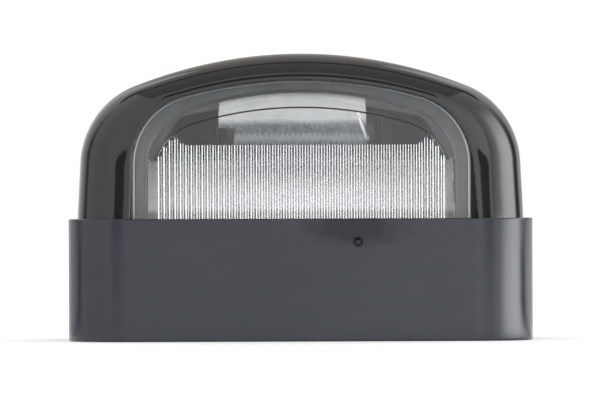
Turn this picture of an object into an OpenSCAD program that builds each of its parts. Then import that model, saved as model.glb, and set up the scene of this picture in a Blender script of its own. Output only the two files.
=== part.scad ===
// Number plate lamp: an open-bottomed base, a domed hood with a fluted window,
// and a festoon bulb under a zinc-plated shade, on a carrier that is its reflector.
// X runs across the lamp, the window faces -Y, and Z = 0 is the underside of the base.

/* [Base] */
// Width of the base across the lamp
base_w = 100; // [94:1:120]
// Depth of the base from front to back
base_d = 54; // [53:0.5:64]
// Height of the base from its underside to its rim
base_h = 26.3; // [24:0.1:34]
// Wall of the base below its deck
base_wall = 2.4; // [2:0.1:3.2]
// Wall of the collar that stands round the hood
collar_wall = 1.8; // [1.5:0.1:2.4]
// Depth from the rim down to the deck
rim_depth = 9.3; // [9:0.1:11]
// Thickness of the deck
deck_t = 2.5; // [2:0.1:3.5]
// Thickness of the ribs under the deck
rib_t = 1.6; // [1.2:0.1:2.4]
// Height of the ribs under the deck
rib_h = 6; // [4:0.5:8]

/* [Fixing] */
// Distance from the side of the base to a fixing hole
fixing_inset = 11; // [10:0.5:12]
// Diameter of a fixing hole
fixing_hole_d = 5.5; // [4.5:0.1:6.5]
// Outer diameter of a fixing boss
fixing_boss_d = 10.4; // [9:0.2:12]

/* [Hood] */
// Height of the hood above the rim
hood_rise = 35.7; // [34:0.1:42]
// Wall of the hood
hood_wall = 2.2; // [1.8:0.1:2.6]
// Corner radius of the hood seen from above
hood_corner_r = 11.8; // [9:0.1:14]
// Radius of the hood's shoulders seen from the front
shoulder_r = 17.3; // [14:0.1:20]
// Radius of the hood's crown seen from the front
crown_r = 102; // [90:1:140]
// Height of the hood's back face above the rim
back_rise = 22; // [20:0.5:26]
// Distance from the back over which the crown falls
back_reach = 26; // [16:0.5:30]
// Inward draft of the hood's sides, in mm for each mm of height and of half width
hood_draft = 0.0011; // [0:0.0001:0.002]

/* [Window] */
// Height of the window opening above the rim
window_rise = 29.7; // [27:0.1:31]
// Radius of the window's upper corners
window_r = 15; // [12:0.5:18]
// Radius of the window's top edge
window_arc_r = 94; // [80:1:120]
// How far the opening widens on each side from its shoulder to the rim
window_flare = 1.5; // [0.5:0.1:2]

/* [Lens] */
// Thickness of the lens front
lens_t = 2.4; // [2:0.1:3]
// Width of the clear edge at the lens's sides
lens_edge = 3; // [2.5:0.1:3.5]
// Width of the clear edge at the lens's top
lens_top_edge = 2.5; // [2:0.1:3]
// Bevel round the lens front
lens_bevel = 0.8; // [0.4:0.1:1]
// Distance from the window's side to the optical pad
pad_inset = 4.75; // [4:0.25:6]
// Distance from the window's top to the optical pad
pad_drop = 5.9; // [5:0.1:7]
// Thickness of the optical pad behind the lens front
pad_t = 0.5; // [0.3:0.1:1]
// Distance between two flutes
flute_pitch = 1.16; // [1:0.01:1.6]
// Depth of a flute
flute_depth = 0.4; // [0.2:0.05:0.6]
// Height of the smooth field's lower edge above the rim
clear_rise = 15.7; // [14:0.1:18]
// Width of the smooth field at its lower corners
clear_w = 54; // [46:0.2:56]
// Radius of the smooth field's lower corners
clear_r = 3.4; // [2:0.2:5]
// Width of the flange that keeps the lens in the hood
flange_w = 2; // [1.6:0.1:2.4]
// Thickness of the lens flange
flange_t = 2; // [1.5:0.1:2.5]
// How much wider than the flange its flat seat in the hood is
land_margin = 0.2; // [0.1:0.1:0.5]

/* [Bulb] */
// Height of the bulb's axis above the rim
bulb_rise = 19; // [18:0.5:20]
// Distance of the bulb's axis in front of the cable grommet
bulb_forward = 16.2; // [15.2:0.1:17.4]
// Length of the bulb over its caps
bulb_len = 36; // [34:0.5:38]
// Diameter of the bulb's glass
bulb_d = 10.6; // [9:0.2:11.4]
// Diameter of a bulb cap
cap_d = 7.8; // [7:0.2:8.4]

/* [Sheet metal] */
// Thickness of the carrier
carrier_t = 0.8; // [0.6:0.1:1]
// Distance from the window's side to the carrier's side
carrier_inset = 3; // [2.5:0.1:6]
// Height of the reflector's upper fold above the rim
reflector_rise = 13.2; // [12:0.1:14]
// Thickness of the shade
shade_t = 0.6; // [0.5:0.1:0.8]
// Distance from the bulb's axis back to the shade's strap
shade_back = 8.2; // [7.5:0.1:8.6]
// Distance from the bulb's axis forward to the shade's front
shade_front = 11.4; // [10:0.1:13]
// Height of the shade's top above the bulb's axis
shade_top = 9; // [8:0.1:9.6]
// Height above the bulb's axis from which the shade's front curves back
shade_turn = 2.5; // [0:0.1:4]
// Width of the shade over the bulb
shade_w = 28; // [24:0.5:30]
// Width of the tab at the shade's left end
shade_tab_w = 3.4; // [2:0.1:3.4]
// Height of the ridge pressed into the shade's front
crease_h = 0.35; // [0.2:0.05:0.5]
// Width of the strap that carries the shade
strap_w = 16; // [12:0.5:18]
// Thickness of a contact spring
contact_t = 0.5; // [0.4:0.1:0.7]
// Thickness of an insulating plate
insulator_t = 1.5; // [1:0.1:2]
// Thickness of a terminal blade
terminal_t = 0.8; // [0.8:0.1:1]
// Width of a terminal blade
terminal_w = 6.3; // [4.8:0.1:6.3]

/* [Screws and seals] */
// Diameter of a screw's shank
screw_d = 2.5; // [2.2:0.1:3]
// Diameter of a screw's head
screw_head_d = 5.6; // [5:0.1:6]
// Height of a screw's head
screw_head_h = 1.5; // [1.2:0.1:1.6]
// Length of a carrier screw below its head
carrier_screw_len = 7; // [6:0.5:8]
// Length of a cover screw below its head
cover_screw_len = 8; // [7:0.5:9]
// Distance of a cover screw from the middle
cover_screw_x = 27; // [26:0.5:29]
// Thickness of the hood gasket
gasket_t = 1.5; // [1:0.1:2]
// Thickness of the lens seal
lens_seal_t = 0.8; // [0.6:0.1:1.2]
// Thickness of the seal under a cover screw
screw_seal_t = 0.4; // [0.3:0.1:0.5]
// Diameter of the cable that the grommet takes
cable_d = 5.2; // [4:0.1:6]
// Diameter of the grommet in the deck
grommet_d = 9; // [8:0.2:10]

/* [Hidden] */
$fn = 64;
cut = 1;            // how far a cutter runs past the face that it cuts
slide = 0.15;       // running clearance between moulded parts
seat = 0.25;        // clearance of a part beside its seat
snug = 0.05;        // radial clearance of a shank in its hole
weld = 0.1;         // how far two forms of one piece run into each other

// Levels
deck_z = base_h - rim_depth;
skirt_z = deck_z + gasket_t;
skirt = base_h - skirt_z;
bulb_z = base_h + bulb_rise;

// The hood in plan, and the base's corner round it
hood_half_w = base_w / 2 - collar_wall - slide;
hood_half_d = base_d / 2 - collar_wall - slide;
base_r = hood_corner_r + slide + collar_wall;
front_y = -hood_half_d;
inner_back_y = hood_half_d - hood_wall;

// The window and the lens in it
window_half_w = hood_half_w - hood_corner_r;
lens_half_w = window_half_w - slide;
lens_rise = window_rise - slide;
edge_half_w = lens_half_w - lens_edge;
edge_rise = lens_rise - lens_top_edge;
edge_r = 13;
edge_arc_r = 76;
pad_half_w = window_half_w - pad_inset;
pad_rise = window_rise - pad_drop;
pad_r = 12;
pad_arc_r = 80;
flare_rise = 17;
land_w = flange_w + land_margin;
seal_y = front_y + hood_wall;
flange_y = seal_y + lens_seal_t;
lens_back_y = flange_y + flange_t;
flute_count = floor(2 * pad_half_w / flute_pitch) - 1;

// The grommet in the deck, and the bulb in front of it
grommet_r = grommet_d / 2;
grommet_flange = 1.4;
grommet_wide = grommet_r + grommet_flange;
grommet_tail = 5;
grommet_lip = 1;
grommet_gap = 1.75;     // from the grommet to the back wall
grommet_y = inner_back_y - grommet_gap - grommet_wide;
bulb_y = grommet_y - bulb_forward;
bulb_half = bulb_len / 2;
cap_len = 5.5;
cap_cone_len = 2.4;
cap_tip_r = 1.3;
cap_wall = 0.5;
neck_r = cap_d / 2 - cap_wall;
glass_wall = 0.7;
glass_gap = 0.1;
neck_x = bulb_half - cap_len - glass_gap;
neck_len = 2;
glass_end_x = neck_x + neck_len;
glass_shoulder = 3;
shoulder_x = neck_x - glass_shoulder;
coil_r = 0.6;
coil_half = 4.6;
lead_r = 0.2;

// The carrier and what is riveted to its leg
leg_y = bulb_y + shade_back;
carrier_half_w = window_half_w - carrier_inset;
carrier_front_y = lens_back_y + seat;
foot_len = 3.5;
rear_foot_len = 7.5;
reflector_z = base_h + reflector_rise;
fold_r = 1.2;
flange_rise = 4;
flange_end = 3;         // from the side flange's foot to the fold beside it
flange_front_cut = 3;
flange_rear_cut = 2;
notch_from = 0.46;      // the notch's place along the slope, as a share of it
notch_to = 0.66;
grommet_room = 3;
carrier_screw_x = 24;
carrier_screw_shift = 0.3;
carrier_screw_y = leg_y + rear_foot_len / 2 + carrier_screw_shift;
rivet_r = 1.4;
rivet_head_r = 2.3;
rivet_head_h = 0.8;
rivet_rise = 7;
rivet_z = base_h + rivet_rise;
shade_rivet_x = 4;
strap_rise = 2;
strap_z = base_h + strap_rise;
tip_reach = 0.8;        // how far a cap's tip goes through its contact
blade_x = bulb_half - tip_reach;
blade_h = 8;
blade_front = 4.5;
blade_hole_r = 2.4;
contact_reach = 8.5;
contact_foot = 4;
contact_over = 4;       // from the rivet up to the contact's neck
contact_neck = 2.2;
rivet_shift = 0.6;
rivet_x = blade_x + contact_reach / 2 + rivet_shift;
insulator_margin = 2;
insulator_foot = 5.5;
terminal_drop = 12;
terminal_over = 3.2;
detent_r = 0.7;
detent_inset = 3;

// The shade: its front, its two folds, its tab and the ridge in its front
shade_y = bulb_y - shade_front;
shade_top_z = bulb_z + shade_top;
shade_turn_z = bulb_z + shade_turn;
shade_fold_r = 2.4;
shade_rear = 4;         // from the bulb's axis back to the end of the shade's full width
shade_low_deg = 58;     // how far the front curves back, from upright
shade_steps = 12;
strap_overlap = 2;
tab_low = 0.2;          // from the bulb's axis up to the tab's lower edge
tab_rear = 5;           // from the bulb's axis forward to the tab's rear end
tab_step = 0.3;
tab_step_w = 1.9;
crease_w = 0.5;
crease_over = 0.7;      // how far the ridge runs past the shade's right edge
crease_tilt = 19;
crease_inset = 0.5;     // from the shade's right edge to the ridge's middle
crease_top = 3.6;       // from the bulb's axis up to the ridge's top
crease_drop = 3.2;      // from the bulb's axis down to the ridge's foot

// Fixings
fixing_x = base_w / 2 - fixing_inset;
screw_r = screw_d / 2;
recess_len = 3.2;
recess_w = 0.7;
recess_d = 0.8;
pilot_r = screw_r + snug;
cover_screw_rise = 3.3;
cover_screw_z = skirt_z + cover_screw_rise;
head_gap = 0.5;
cover_head_r = screw_head_d / 2 + head_gap;
post_w = 7;
post_d = 6;
post_over = 3.5;
post_back_y = inner_back_y - seat;
post_h = cover_screw_z + post_over - deck_z;
keeper_w = 2;
keeper_d = 3.5;
keeper_h = 7;
rib_gap = 2.2;          // from the carrier's leg to the rib in front of it
rib_pitch = 17;
rib_back_y = leg_y - rib_gap;
rib_front_y = rib_back_y - rib_pitch;
rib_x = carrier_screw_x;
screw_boss_r = 3.4;
gate_x = 12;
gate_drop = 5;
gate_r = 0.9;
gate_depth = 0.4;

// Facets of the hood's surface
corner_steps = 9;
crown_steps = 6;
front_steps = 8;
back_steps = 11;

// Rounded rectangle centred on the origin
module rounded_rect(w, d, r) {
    square([w - 2 * r, d], center = true);
    square([w, d - 2 * r], center = true);
    for (x = [-1, 1], y = [-1, 1])
        translate([x * (w / 2 - r), y * (d / 2 - r)]) circle(r);
}

module rounded_slab(w, d, r, z0, z1) {
    translate([0, 0, z0]) linear_extrude(z1 - z0) rounded_rect(w, d, r);
}

// Right half of an arch: a shoulder of radius r that runs into a crown of radius big_r
function arch_half(half_w, rise, big_r, r) =
    let (
        cx = half_w - r,
        cz = rise - big_r + sqrt(pow(big_r - r, 2) - cx * cx),
        turn = atan2(cz - rise + big_r, cx)
    )
    concat(
        [for (i = [0 : corner_steps])
            let (a = turn * i / corner_steps) [cx + r * cos(a), cz + r * sin(a)]],
        [for (i = [1 : crown_steps])
            let (a = turn + (90 - turn) * i / crown_steps)
                [big_r * cos(a), rise - big_r + big_r * sin(a)]]
    );

// Whole arch from its right foot over the crown to its left foot, foot deep below the rim
function arch(half_w, rise, big_r, r, foot) =
    let (
        half = concat([[half_w, -foot], [half_w, 0]], arch_half(half_w, rise, big_r, r)),
        n = len(half)
    )
    concat(half, [for (i = [n - 2 : -1 : 0]) [-half[i][0], half[i][1]]]);

// A slab with an arched outline that stands across the lamp from y0 back to y1
module arch_slab(half_w, rise, big_r, r, y0, y1, foot = skirt) {
    translate([0, y1, base_h]) rotate([90, 0, 0])
        linear_extrude(y1 - y0) polygon(arch(half_w, rise, big_r, r, foot));
}

// The window's outline, moved outwards by grow
module window_slab(grow, y0, y1, foot = skirt) {
    arch_slab(window_half_w + grow, window_rise + grow, window_arc_r + grow,
        window_r + grow, y0, y1, foot);
}

// How far a quarter ellipse has grown, from 0 at its start to 1 at its reach
function quarter(d, reach) = d >= reach ? 1 : sqrt(1 - pow(1 - max(d, 0) / reach, 2));

function mix(a, b, t) = a + (b - a) * t;

// Distances of the hood's sections from its front, inset by its wall or by nothing
function stations(inset) =
    let (depth = 2 * (hood_half_d - inset), f = hood_corner_r - inset, b = back_reach - inset)
    concat(
        [for (i = [0 : front_steps]) f * (1 - cos(90 * i / front_steps))],
        [for (i = [back_steps : -1 : 0]) depth - b * (1 - cos(90 * i / back_steps))]
    );

// One section of the hood: the arch grows from the window's outline, widened by land, to
// the full hood and closes again towards the back face
function hood_ring(d, inset, land) =
    let (
        back = 2 * (hood_half_d - inset) - d,
        corner = hood_corner_r - inset,
        front_g = quarter(d, corner),
        side_g = min(front_g, quarter(back, corner)),
        fall_g = quarter(back, back_reach - inset),
        half_w = window_half_w + land + (corner - land) * side_g,
        front_rise = mix(window_rise + land, hood_rise - inset, front_g),
        rise = min(front_rise, mix(back_rise, hood_rise - inset, fall_g)),
        big_r = mix(window_arc_r + land, crown_r - inset, front_g),
        r = mix(window_r + land, shoulder_r - inset * fall_g, front_g)
    )
    [for (p = arch(half_w, rise, big_r, r, skirt))
        [p[0] * (1 - hood_draft * front_g * max(p[1], 0)), front_y + inset + d,
            base_h + p[1]]];

// The hood's wall as one closed skin: outer sections, the edge of the window, the flat
// land behind it, inner sections, the lower edge and the two back faces
module hood_shell() {
    outer = [for (d = stations(0)) hood_ring(d, 0, 0)];
    inner = concat([hood_ring(0, hood_wall, 0)],
        [for (d = stations(hood_wall)) hood_ring(d, hood_wall, land_w)]);
    n = len(outer);
    m = len(outer[0]);
    last = m - 1;
    points = [for (ring = concat(outer, inner)) for (p = ring) p];
    function o(i, k) = i * m + k;
    function q(i, k) = (n + i) * m + k;
    faces = concat(
        [for (i = [0 : n - 2], k = [0 : m - 2])
            [o(i, k), o(i, k + 1), o(i + 1, k + 1), o(i + 1, k)]],
        [for (i = [0 : n - 1], k = [0 : m - 2])
            [q(i, k), q(i + 1, k), q(i + 1, k + 1), q(i, k + 1)]],
        [for (k = [0 : m - 2]) [o(0, k + 1), o(0, k), q(0, k), q(0, k + 1)]],
        [[o(0, 0), q(1, 0), q(0, 0)], [o(0, last), q(0, last), q(1, last)]],
        [for (i = [0 : n - 2]) [o(i, 0), o(i + 1, 0), q(i + 2, 0), q(i + 1, 0)]],
        [for (i = [0 : n - 2])
            [o(i + 1, last), o(i, last), q(i + 1, last), q(i + 2, last)]],
        [[for (k = [0 : last]) o(n - 1, k)]],
        [[for (k = [last : -1 : 0]) q(n, k)]],
        [[o(n - 1, 0), o(n - 1, last), q(n, last), q(n, 0)]]
    );
    polyhedron(points = points, faces = faces, convexity = 8);
}

// Cutter that widens the window towards the rim on one side
module flare_cutter(side) {
    low = -skirt - cut;
    wide = window_half_w + window_flare * (flare_rise - low) / flare_rise;
    deep = hood_wall + cut;
    translate([0, front_y + deep, base_h]) rotate([90, 0, 0]) linear_extrude(deep + cut)
        polygon([for (p = [[window_half_w - cut, flare_rise], [window_half_w, flare_rise],
            [wide, low], [window_half_w - cut, low]]) [side * p[0], p[1]]]);
}

function unit(v) = v / norm(v);
function left_of(v) = [-v[1], v[0]];

// Arc of radius r in place of the corner at b between a and c
function fold(a, b, c, r) =
    let (
        u = unit(a - b),
        v = unit(c - b),
        half = acos(u * v) / 2,
        centre = b + unit(u + v) * r / sin(half),
        p = b + u * r / tan(half) - centre,
        w = b + v * r / tan(half) - centre
    )
    [for (i = [0 : 4]) centre + r * unit(mix(p, w, i / 4))];

// A path with its inner corners folded to radius r
function folded(path, r) =
    let (n = len(path))
    concat([path[0]],
        [for (i = [1 : n - 2]) each fold(path[i - 1], path[i], path[i + 1], r)],
        [path[n - 1]]);

// Outline of a sheet of thickness t that lies on the left of a path
function sheet(path, t) =
    let (
        n = len(path),
        side = [for (i = [0 : n - 1])
            let (
                b = left_of(unit(path[min(i + 1, n - 1)] - path[min(i, n - 2)])),
                a = left_of(unit(path[max(i, 1)] - path[max(i - 1, 0)]))
            )
            path[i] + (a + b) * t / (1 + a * b)]
    )
    concat(path, [for (i = [n - 1 : -1 : 0]) side[i]]);

// Extrudes a profile drawn in the YZ plane along X
module along_x(x0, x1) {
    translate([x0, 0, 0]) rotate([90, 0, 90]) linear_extrude(x1 - x0) children();
}

// Cylinder along Y from y0 to y1
module rod_y(r, x, z, y0, y1) {
    translate([x, y1, z]) rotate([90, 0, 0]) cylinder(r = r, h = y1 - y0);
}

// Screw along -Z with its head above the origin and a cross recess in it
module screw(len) {
    difference() {
        union() {
            cylinder(d = screw_head_d, h = screw_head_h);
            translate([0, 0, -len]) cylinder(r = screw_r, h = len + screw_head_h / 2);
        }
        for (a = [0, 90])
            rotate(a) translate([-recess_len / 2, -recess_w / 2, screw_head_h - recess_d])
                cube([recess_len, recess_w, recess_d + cut]);
    }
}

// Rivet along Y through a stack from y0 to y1, with a head on each face
module rivet(x, z, y0, y1) {
    rod_y(rivet_r, x, z, y0 - rivet_head_h / 2, y1 + rivet_head_h / 2);
    rod_y(rivet_head_r, x, z, y0 - rivet_head_h, y0);
    rod_y(rivet_head_r, x, z, y1, y1 + rivet_head_h);
}

// Rib across the space under the deck
module rib(x0, y0, size_x, size_y) {
    translate([x0, y0, deck_z - deck_t - rib_h]) cube([size_x, size_y, rib_h + deck_t / 2]);
}

module base() {
    in_w = base_w - base_wall;
    in_d = base_d - base_wall;
    boss_r = fixing_boss_d / 2;
    color("#2a2b31") difference() {
        union() {
            difference() {
                rounded_slab(base_w, base_d, base_r, 0, base_h);
                rounded_slab(base_w - 2 * base_wall, base_d - 2 * base_wall,
                    base_r - base_wall, -cut, deck_z - deck_t);
                rounded_slab(base_w - 2 * collar_wall, base_d - 2 * collar_wall,
                    base_r - collar_wall, deck_z, base_h + cut);
            }
            for (y = [rib_front_y, rib_back_y])
                rib(-in_w / 2, y - rib_t / 2, in_w, rib_t);
            for (x = [-rib_x, rib_x]) {
                rib(x - rib_t / 2, -in_d / 2, rib_t, in_d);
                translate([x, carrier_screw_y, deck_z - carrier_screw_len - rib_t])
                    cylinder(r = screw_boss_r, h = carrier_screw_len);
            }
            for (side = [-1, 1]) {
                translate([side * fixing_x, 0, 0]) cylinder(r = boss_r, h = deck_z);
                translate([side * cover_screw_x - post_w / 2, post_back_y - post_d, deck_z - cut])
                    cube([post_w, post_d, post_h + cut]);
                translate([side * (window_half_w + flange_w / 2) - keeper_w / 2,
                    lens_back_y + seat, deck_z - cut]) cube([keeper_w, keeper_d, keeper_h + cut]);
            }
        }
        for (side = [-1, 1]) {
            translate([side * fixing_x, 0, -cut])
                cylinder(d = fixing_hole_d, h = deck_z + 2 * cut);
            translate([side * carrier_screw_x, carrier_screw_y, deck_z - carrier_screw_len])
                cylinder(r = pilot_r, h = carrier_screw_len + cut);
            rod_y(pilot_r, side * cover_screw_x, cover_screw_z,
                post_back_y - post_d - cut, post_back_y + cut);
            rod_y(cover_head_r, side * cover_screw_x, cover_screw_z,
                hood_half_d, base_d / 2 + cut);
        }
        translate([0, grommet_y, deck_z - deck_t - cut])
            cylinder(r = grommet_r + snug, h = deck_t + 2 * cut);
        gate_dimple();
    }
}

// Dimple of the moulding gate in the front face, with the gate's vestige left in it
module gate_dimple() {
    y = -base_d / 2;
    z = base_h - gate_drop;
    difference() {
        rod_y(gate_r, gate_x, z, y - cut, y + gate_depth);
        rod_y(gate_r / 2, gate_x, z, y + snug, y + cut);
    }
}

module hood() {
    color("#17181a") difference() {
        hood_shell();
        for (side = [-1, 1]) {
            flare_cutter(side);
            rod_y(screw_r + slide, side * cover_screw_x, cover_screw_z,
                inner_back_y - cut, hood_half_d + cut);
        }
    }
}

// Flutes across the whole pad, as one extruded profile
module flute_field() {
    x0 = -flute_count * flute_pitch / 2;
    inner_y = front_y + lens_t + pad_t;
    crest = [0.7, 1, 0.7, 0];
    profile = concat(
        [[x0, -pad_t / 2], [x0, 0]],
        [for (i = [0 : flute_count - 1], k = [0 : 3])
            [x0 + (i + (k + 1) / 4) * flute_pitch, crest[k] * flute_depth]],
        [[-x0, -pad_t / 2]]
    );
    translate([0, inner_y, skirt_z]) linear_extrude(skirt + pad_rise) polygon(profile);
}

// The smooth field above the flutes: the pad's arch with rounded lower corners
module clear_field(y0, y1) {
    low = base_h + clear_rise;
    tall = pad_rise;
    translate([0, y1, low]) rotate([90, 0, 0]) linear_extrude(y1 - y0) {
        translate([-clear_w / 2 + clear_r, 0]) square([clear_w - 2 * clear_r, tall]);
        translate([-clear_w / 2, clear_r]) square([clear_w, tall]);
        for (side = [-1, 1]) translate([side * (clear_w / 2 - clear_r), clear_r]) circle(clear_r);
    }
}

module lens() {
    pad_y = front_y + lens_t;
    color("#dfe6e8", 0.4) union() {
        difference() {
            union() {
                hull() {
                    window_slab(-slide - lens_bevel, front_y, front_y + lens_bevel / 2);
                    window_slab(-slide, front_y + lens_bevel, front_y + lens_t / 2);
                }
                window_slab(-slide, front_y + lens_t / 2, lens_back_y);
                window_slab(flange_w - slide, flange_y, lens_back_y);
            }
            arch_slab(edge_half_w, edge_rise, edge_arc_r, edge_r, pad_y, lens_back_y + cut,
                skirt + cut);
        }
        arch_slab(pad_half_w, pad_rise, pad_arc_r, pad_r, pad_y - pad_t, pad_y + pad_t);
        intersection() {
            flute_field();
            difference() {
                arch_slab(pad_half_w, pad_rise, pad_arc_r, pad_r, pad_y, pad_y + 3 * pad_t);
                clear_field(pad_y - cut, pad_y + 3 * pad_t + cut);
            }
        }
    }
}

module lens_seal() {
    color("#1b1b1b") difference() {
        window_slab(flange_w - 2 * slide, seal_y, flange_y);
        window_slab(slide, seal_y - cut, flange_y + cut, skirt + cut);
    }
}

module hood_gasket() {
    color("#1b1b1b") difference() {
        rounded_slab(2 * hood_half_w, 2 * hood_half_d, hood_corner_r, deck_z, skirt_z);
        rounded_slab(2 * (hood_half_w - hood_wall), 2 * (hood_half_d - hood_wall),
            hood_corner_r - hood_wall, deck_z - cut, skirt_z + cut);
    }
}

// Side flange of the carrier, folded up along the reflector's edge
module carrier_flange(x0, notch) {
    foot = [carrier_front_y + foot_len, deck_z];
    top = [leg_y - carrier_t, reflector_z - carrier_t];
    along = unit(top - foot);
    up = left_of(along);
    run = norm(top - foot);
    function at(s, h) = foot + along * s + up * h;
    along_x(x0, x0 + carrier_t) difference() {
        polygon([at(flange_end, weld), at(run - flange_end, weld),
            at(run - flange_end - flange_rear_cut, flange_rise),
            at(flange_end + flange_front_cut, flange_rise)]);
        if (notch) polygon([at(run * notch_from, carrier_t), at(run * notch_to, carrier_t),
            at(run * notch_to, flange_rise + cut), at(run * notch_from, flange_rise + cut)]);
    }
}

module bulb_carrier() {
    front = carrier_front_y;
    inner_leg = leg_y - carrier_t;
    path = [[front, deck_z], [front + foot_len, deck_z], [inner_leg, reflector_z - carrier_t],
        [inner_leg, deck_z], [leg_y + rear_foot_len, deck_z]];
    slot_w = 2 * (grommet_wide + grommet_room);
    color("#e9e9e4") difference() {
        union() {
            along_x(-carrier_half_w, carrier_half_w) polygon(sheet(folded(path, fold_r), carrier_t));
            carrier_flange(-carrier_half_w, false);
            carrier_flange(carrier_half_w - carrier_t, true);
        }
        translate([-slot_w / 2, leg_y, deck_z - cut])
            cube([slot_w, rear_foot_len + cut, carrier_t + fold_r + 2 * cut]);
        for (side = [-1, 1]) {
            translate([side * carrier_screw_x, carrier_screw_y, deck_z - cut])
                cylinder(r = screw_r + slide, h = carrier_t + 2 * cut);
            for (x = [side * rivet_x, side * shade_rivet_x])
                rod_y(rivet_r + snug, x, rivet_z, inner_leg - cut, leg_y + cut);
        }
    }
}

// Inner faces of the shade's front, from its lower edge up to where it stands upright
function shade_curve() = [for (i = [0 : shade_steps])
    let (a = shade_low_deg * (1 - i / shade_steps))
        [bulb_y - shade_front * cos(a), shade_turn_z - shade_front * sin(a)]];

// A path over the shade's top from its front at z to a rear point
function shade_over(z, rear) =
    folded([[shade_y, z], [shade_y, shade_top_z], rear], shade_fold_r);

// Slanted ridge pressed into the shade's front near its right end
module crease() {
    path = concat(shade_curve(), [[shade_y, bulb_z + crease_top + cut]]);
    tall = crease_top + crease_drop;
    intersection() {
        along_x(0, shade_w / 2 + crease_over) polygon(sheet(path, shade_t + crease_h));
        translate([shade_w / 2 - crease_inset, shade_y, bulb_z + (crease_top - crease_drop) / 2])
            rotate([0, -crease_tilt, 0]) cube([crease_w, shade_front, tall], center = true);
    }
}

module bulb_shade() {
    left = -shade_w / 2;
    rear = [bulb_y + shade_rear, shade_top_z];
    strap = folded([[rear[0] - strap_overlap, shade_top_z], [leg_y, shade_top_z],
        [leg_y, strap_z]], shade_fold_r);
    tab = shade_over(bulb_z + tab_low, [bulb_y - tab_rear, shade_top_z]);
    color("#b9bdc0") difference() {
        union() {
            along_x(left, -left)
                polygon(sheet(concat(shade_curve(), shade_over(shade_turn_z + weld, rear)), shade_t));
            along_x(-strap_w / 2, strap_w / 2) polygon(sheet(strap, shade_t));
            along_x(left - shade_tab_w, left + weld) polygon(sheet(tab, shade_t));
            along_x(left - shade_tab_w, left - shade_tab_w + tab_step_w)
                polygon(sheet(tab, shade_t + tab_step));
            crease();
        }
        for (side = [-1, 1])
            rod_y(rivet_r + snug, side * shade_rivet_x, rivet_z, leg_y - cut, leg_y + shade_t + cut);
    }
}

module shade_rivets() {
    color("#a8abad") for (side = [-1, 1])
        rivet(side * shade_rivet_x, rivet_z, leg_y - carrier_t, leg_y + shade_t);
}

// Turns a profile drawn as [radius, distance from the bulb's middle] round the bulb's axis
module round_bulb(side = 1) {
    translate([0, bulb_y, bulb_z]) rotate([0, side * 90, 0]) rotate_extrude() children();
}

module bulb_glass() {
    r = bulb_d / 2;
    half = [[neck_r, glass_end_x], [neck_r, neck_x], [r, shoulder_x]];
    bore_r = neck_r - glass_wall;
    inner_x = neck_x - glass_wall / 2;
    bore = [[r - glass_wall, inner_x - glass_shoulder], [bore_r, inner_x], [bore_r, glass_end_x]];
    color("#e8eef0", 0.5) round_bulb() polygon(concat(
        half, [for (i = [2 : -1 : 0]) [half[i][0], -half[i][1]]],
        [for (i = [2 : -1 : 0]) [bore[i][0], -bore[i][1]]], bore));
}

// A brass cup over the glass's neck, with a cone that sits in the contact's hole
module bulb_cap(side) {
    r = cap_d / 2;
    inner_r = neck_r + snug;
    mouth_x = bulb_half - cap_len;
    floor_x = glass_end_x + snug;
    color("#c8b27a") round_bulb(side) polygon([
        [inner_r, mouth_x], [r, mouth_x], [r, bulb_half - cap_cone_len], [cap_tip_r, bulb_half],
        [0, bulb_half], [0, floor_x], [inner_r, floor_x]]);
}

module bulb_cap_left() { bulb_cap(-1); }
module bulb_cap_right() { bulb_cap(1); }

// Coil and the two leads that run into the caps
module bulb_filament() {
    lead = glass_end_x;
    bend = coil_half + coil_r - lead_r;
    color("#8d8f91") round_bulb() polygon([[0, -lead], [lead_r, -lead], [lead_r, -bend],
        [coil_r, -coil_half], [coil_r, coil_half], [lead_r, bend], [lead_r, lead], [0, lead]]);
}

// Spring strip: a plate riveted behind the leg, a narrow neck above it, and a blade that
// reaches forward to the bulb
module contact(side) {
    y0 = leg_y + insulator_t;
    low = rivet_z - contact_foot;
    neck_z = rivet_z + contact_over;
    top = bulb_z + blade_h / 2;
    x0 = side > 0 ? blade_x : -blade_x - contact_t;
    color("#b08d57") difference() {
        union() {
            translate([side > 0 ? blade_x : -blade_x - contact_reach, y0, low])
                cube([contact_reach, contact_t, neck_z - low]);
            translate([side > 0 ? blade_x : -blade_x - contact_neck, y0, low])
                cube([contact_neck, contact_t, top - low]);
            translate([x0, bulb_y - blade_front, bulb_z - blade_h / 2])
                cube([contact_t, y0 + contact_t - bulb_y + blade_front, blade_h]);
        }
        rod_y(rivet_r + snug, side * rivet_x, rivet_z, y0 - cut, y0 + contact_t + cut);
        translate([x0 - cut, bulb_y, bulb_z]) rotate([0, 90, 0])
            cylinder(r = blade_hole_r, h = contact_t + 2 * cut);
    }
}

module contact_left() { contact(-1); }
module contact_right() { contact(1); }

module insulator(side) {
    w = contact_reach + 2 * insulator_margin;
    x0 = blade_x - insulator_margin;
    low = rivet_z - insulator_foot;
    top = reflector_z - insulator_margin;
    color("#6b3f22") difference() {
        translate([side > 0 ? x0 : -x0 - w, leg_y, low]) cube([w, insulator_t, top - low]);
        rod_y(rivet_r + snug, side * rivet_x, rivet_z, leg_y - cut, leg_y + insulator_t + cut);
    }
}

module insulator_left() { insulator(-1); }
module insulator_right() { insulator(1); }

// Flat blade that a push-on connector fits, riveted over the contact
module terminal(side) {
    y0 = leg_y + insulator_t + contact_t;
    low = rivet_z - terminal_drop;
    top = rivet_z + terminal_over;
    color("#c2c4c2") difference() {
        translate([side * rivet_x - terminal_w / 2, y0, low]) cube([terminal_w, terminal_t, top - low]);
        rod_y(rivet_r + snug, side * rivet_x, rivet_z, y0 - cut, y0 + terminal_t + cut);
        rod_y(detent_r, side * rivet_x, low + detent_inset, y0 - cut, y0 + terminal_t + cut);
    }
}

module terminal_live() { terminal(-1); }
module terminal_earth() { terminal(1); }

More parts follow.
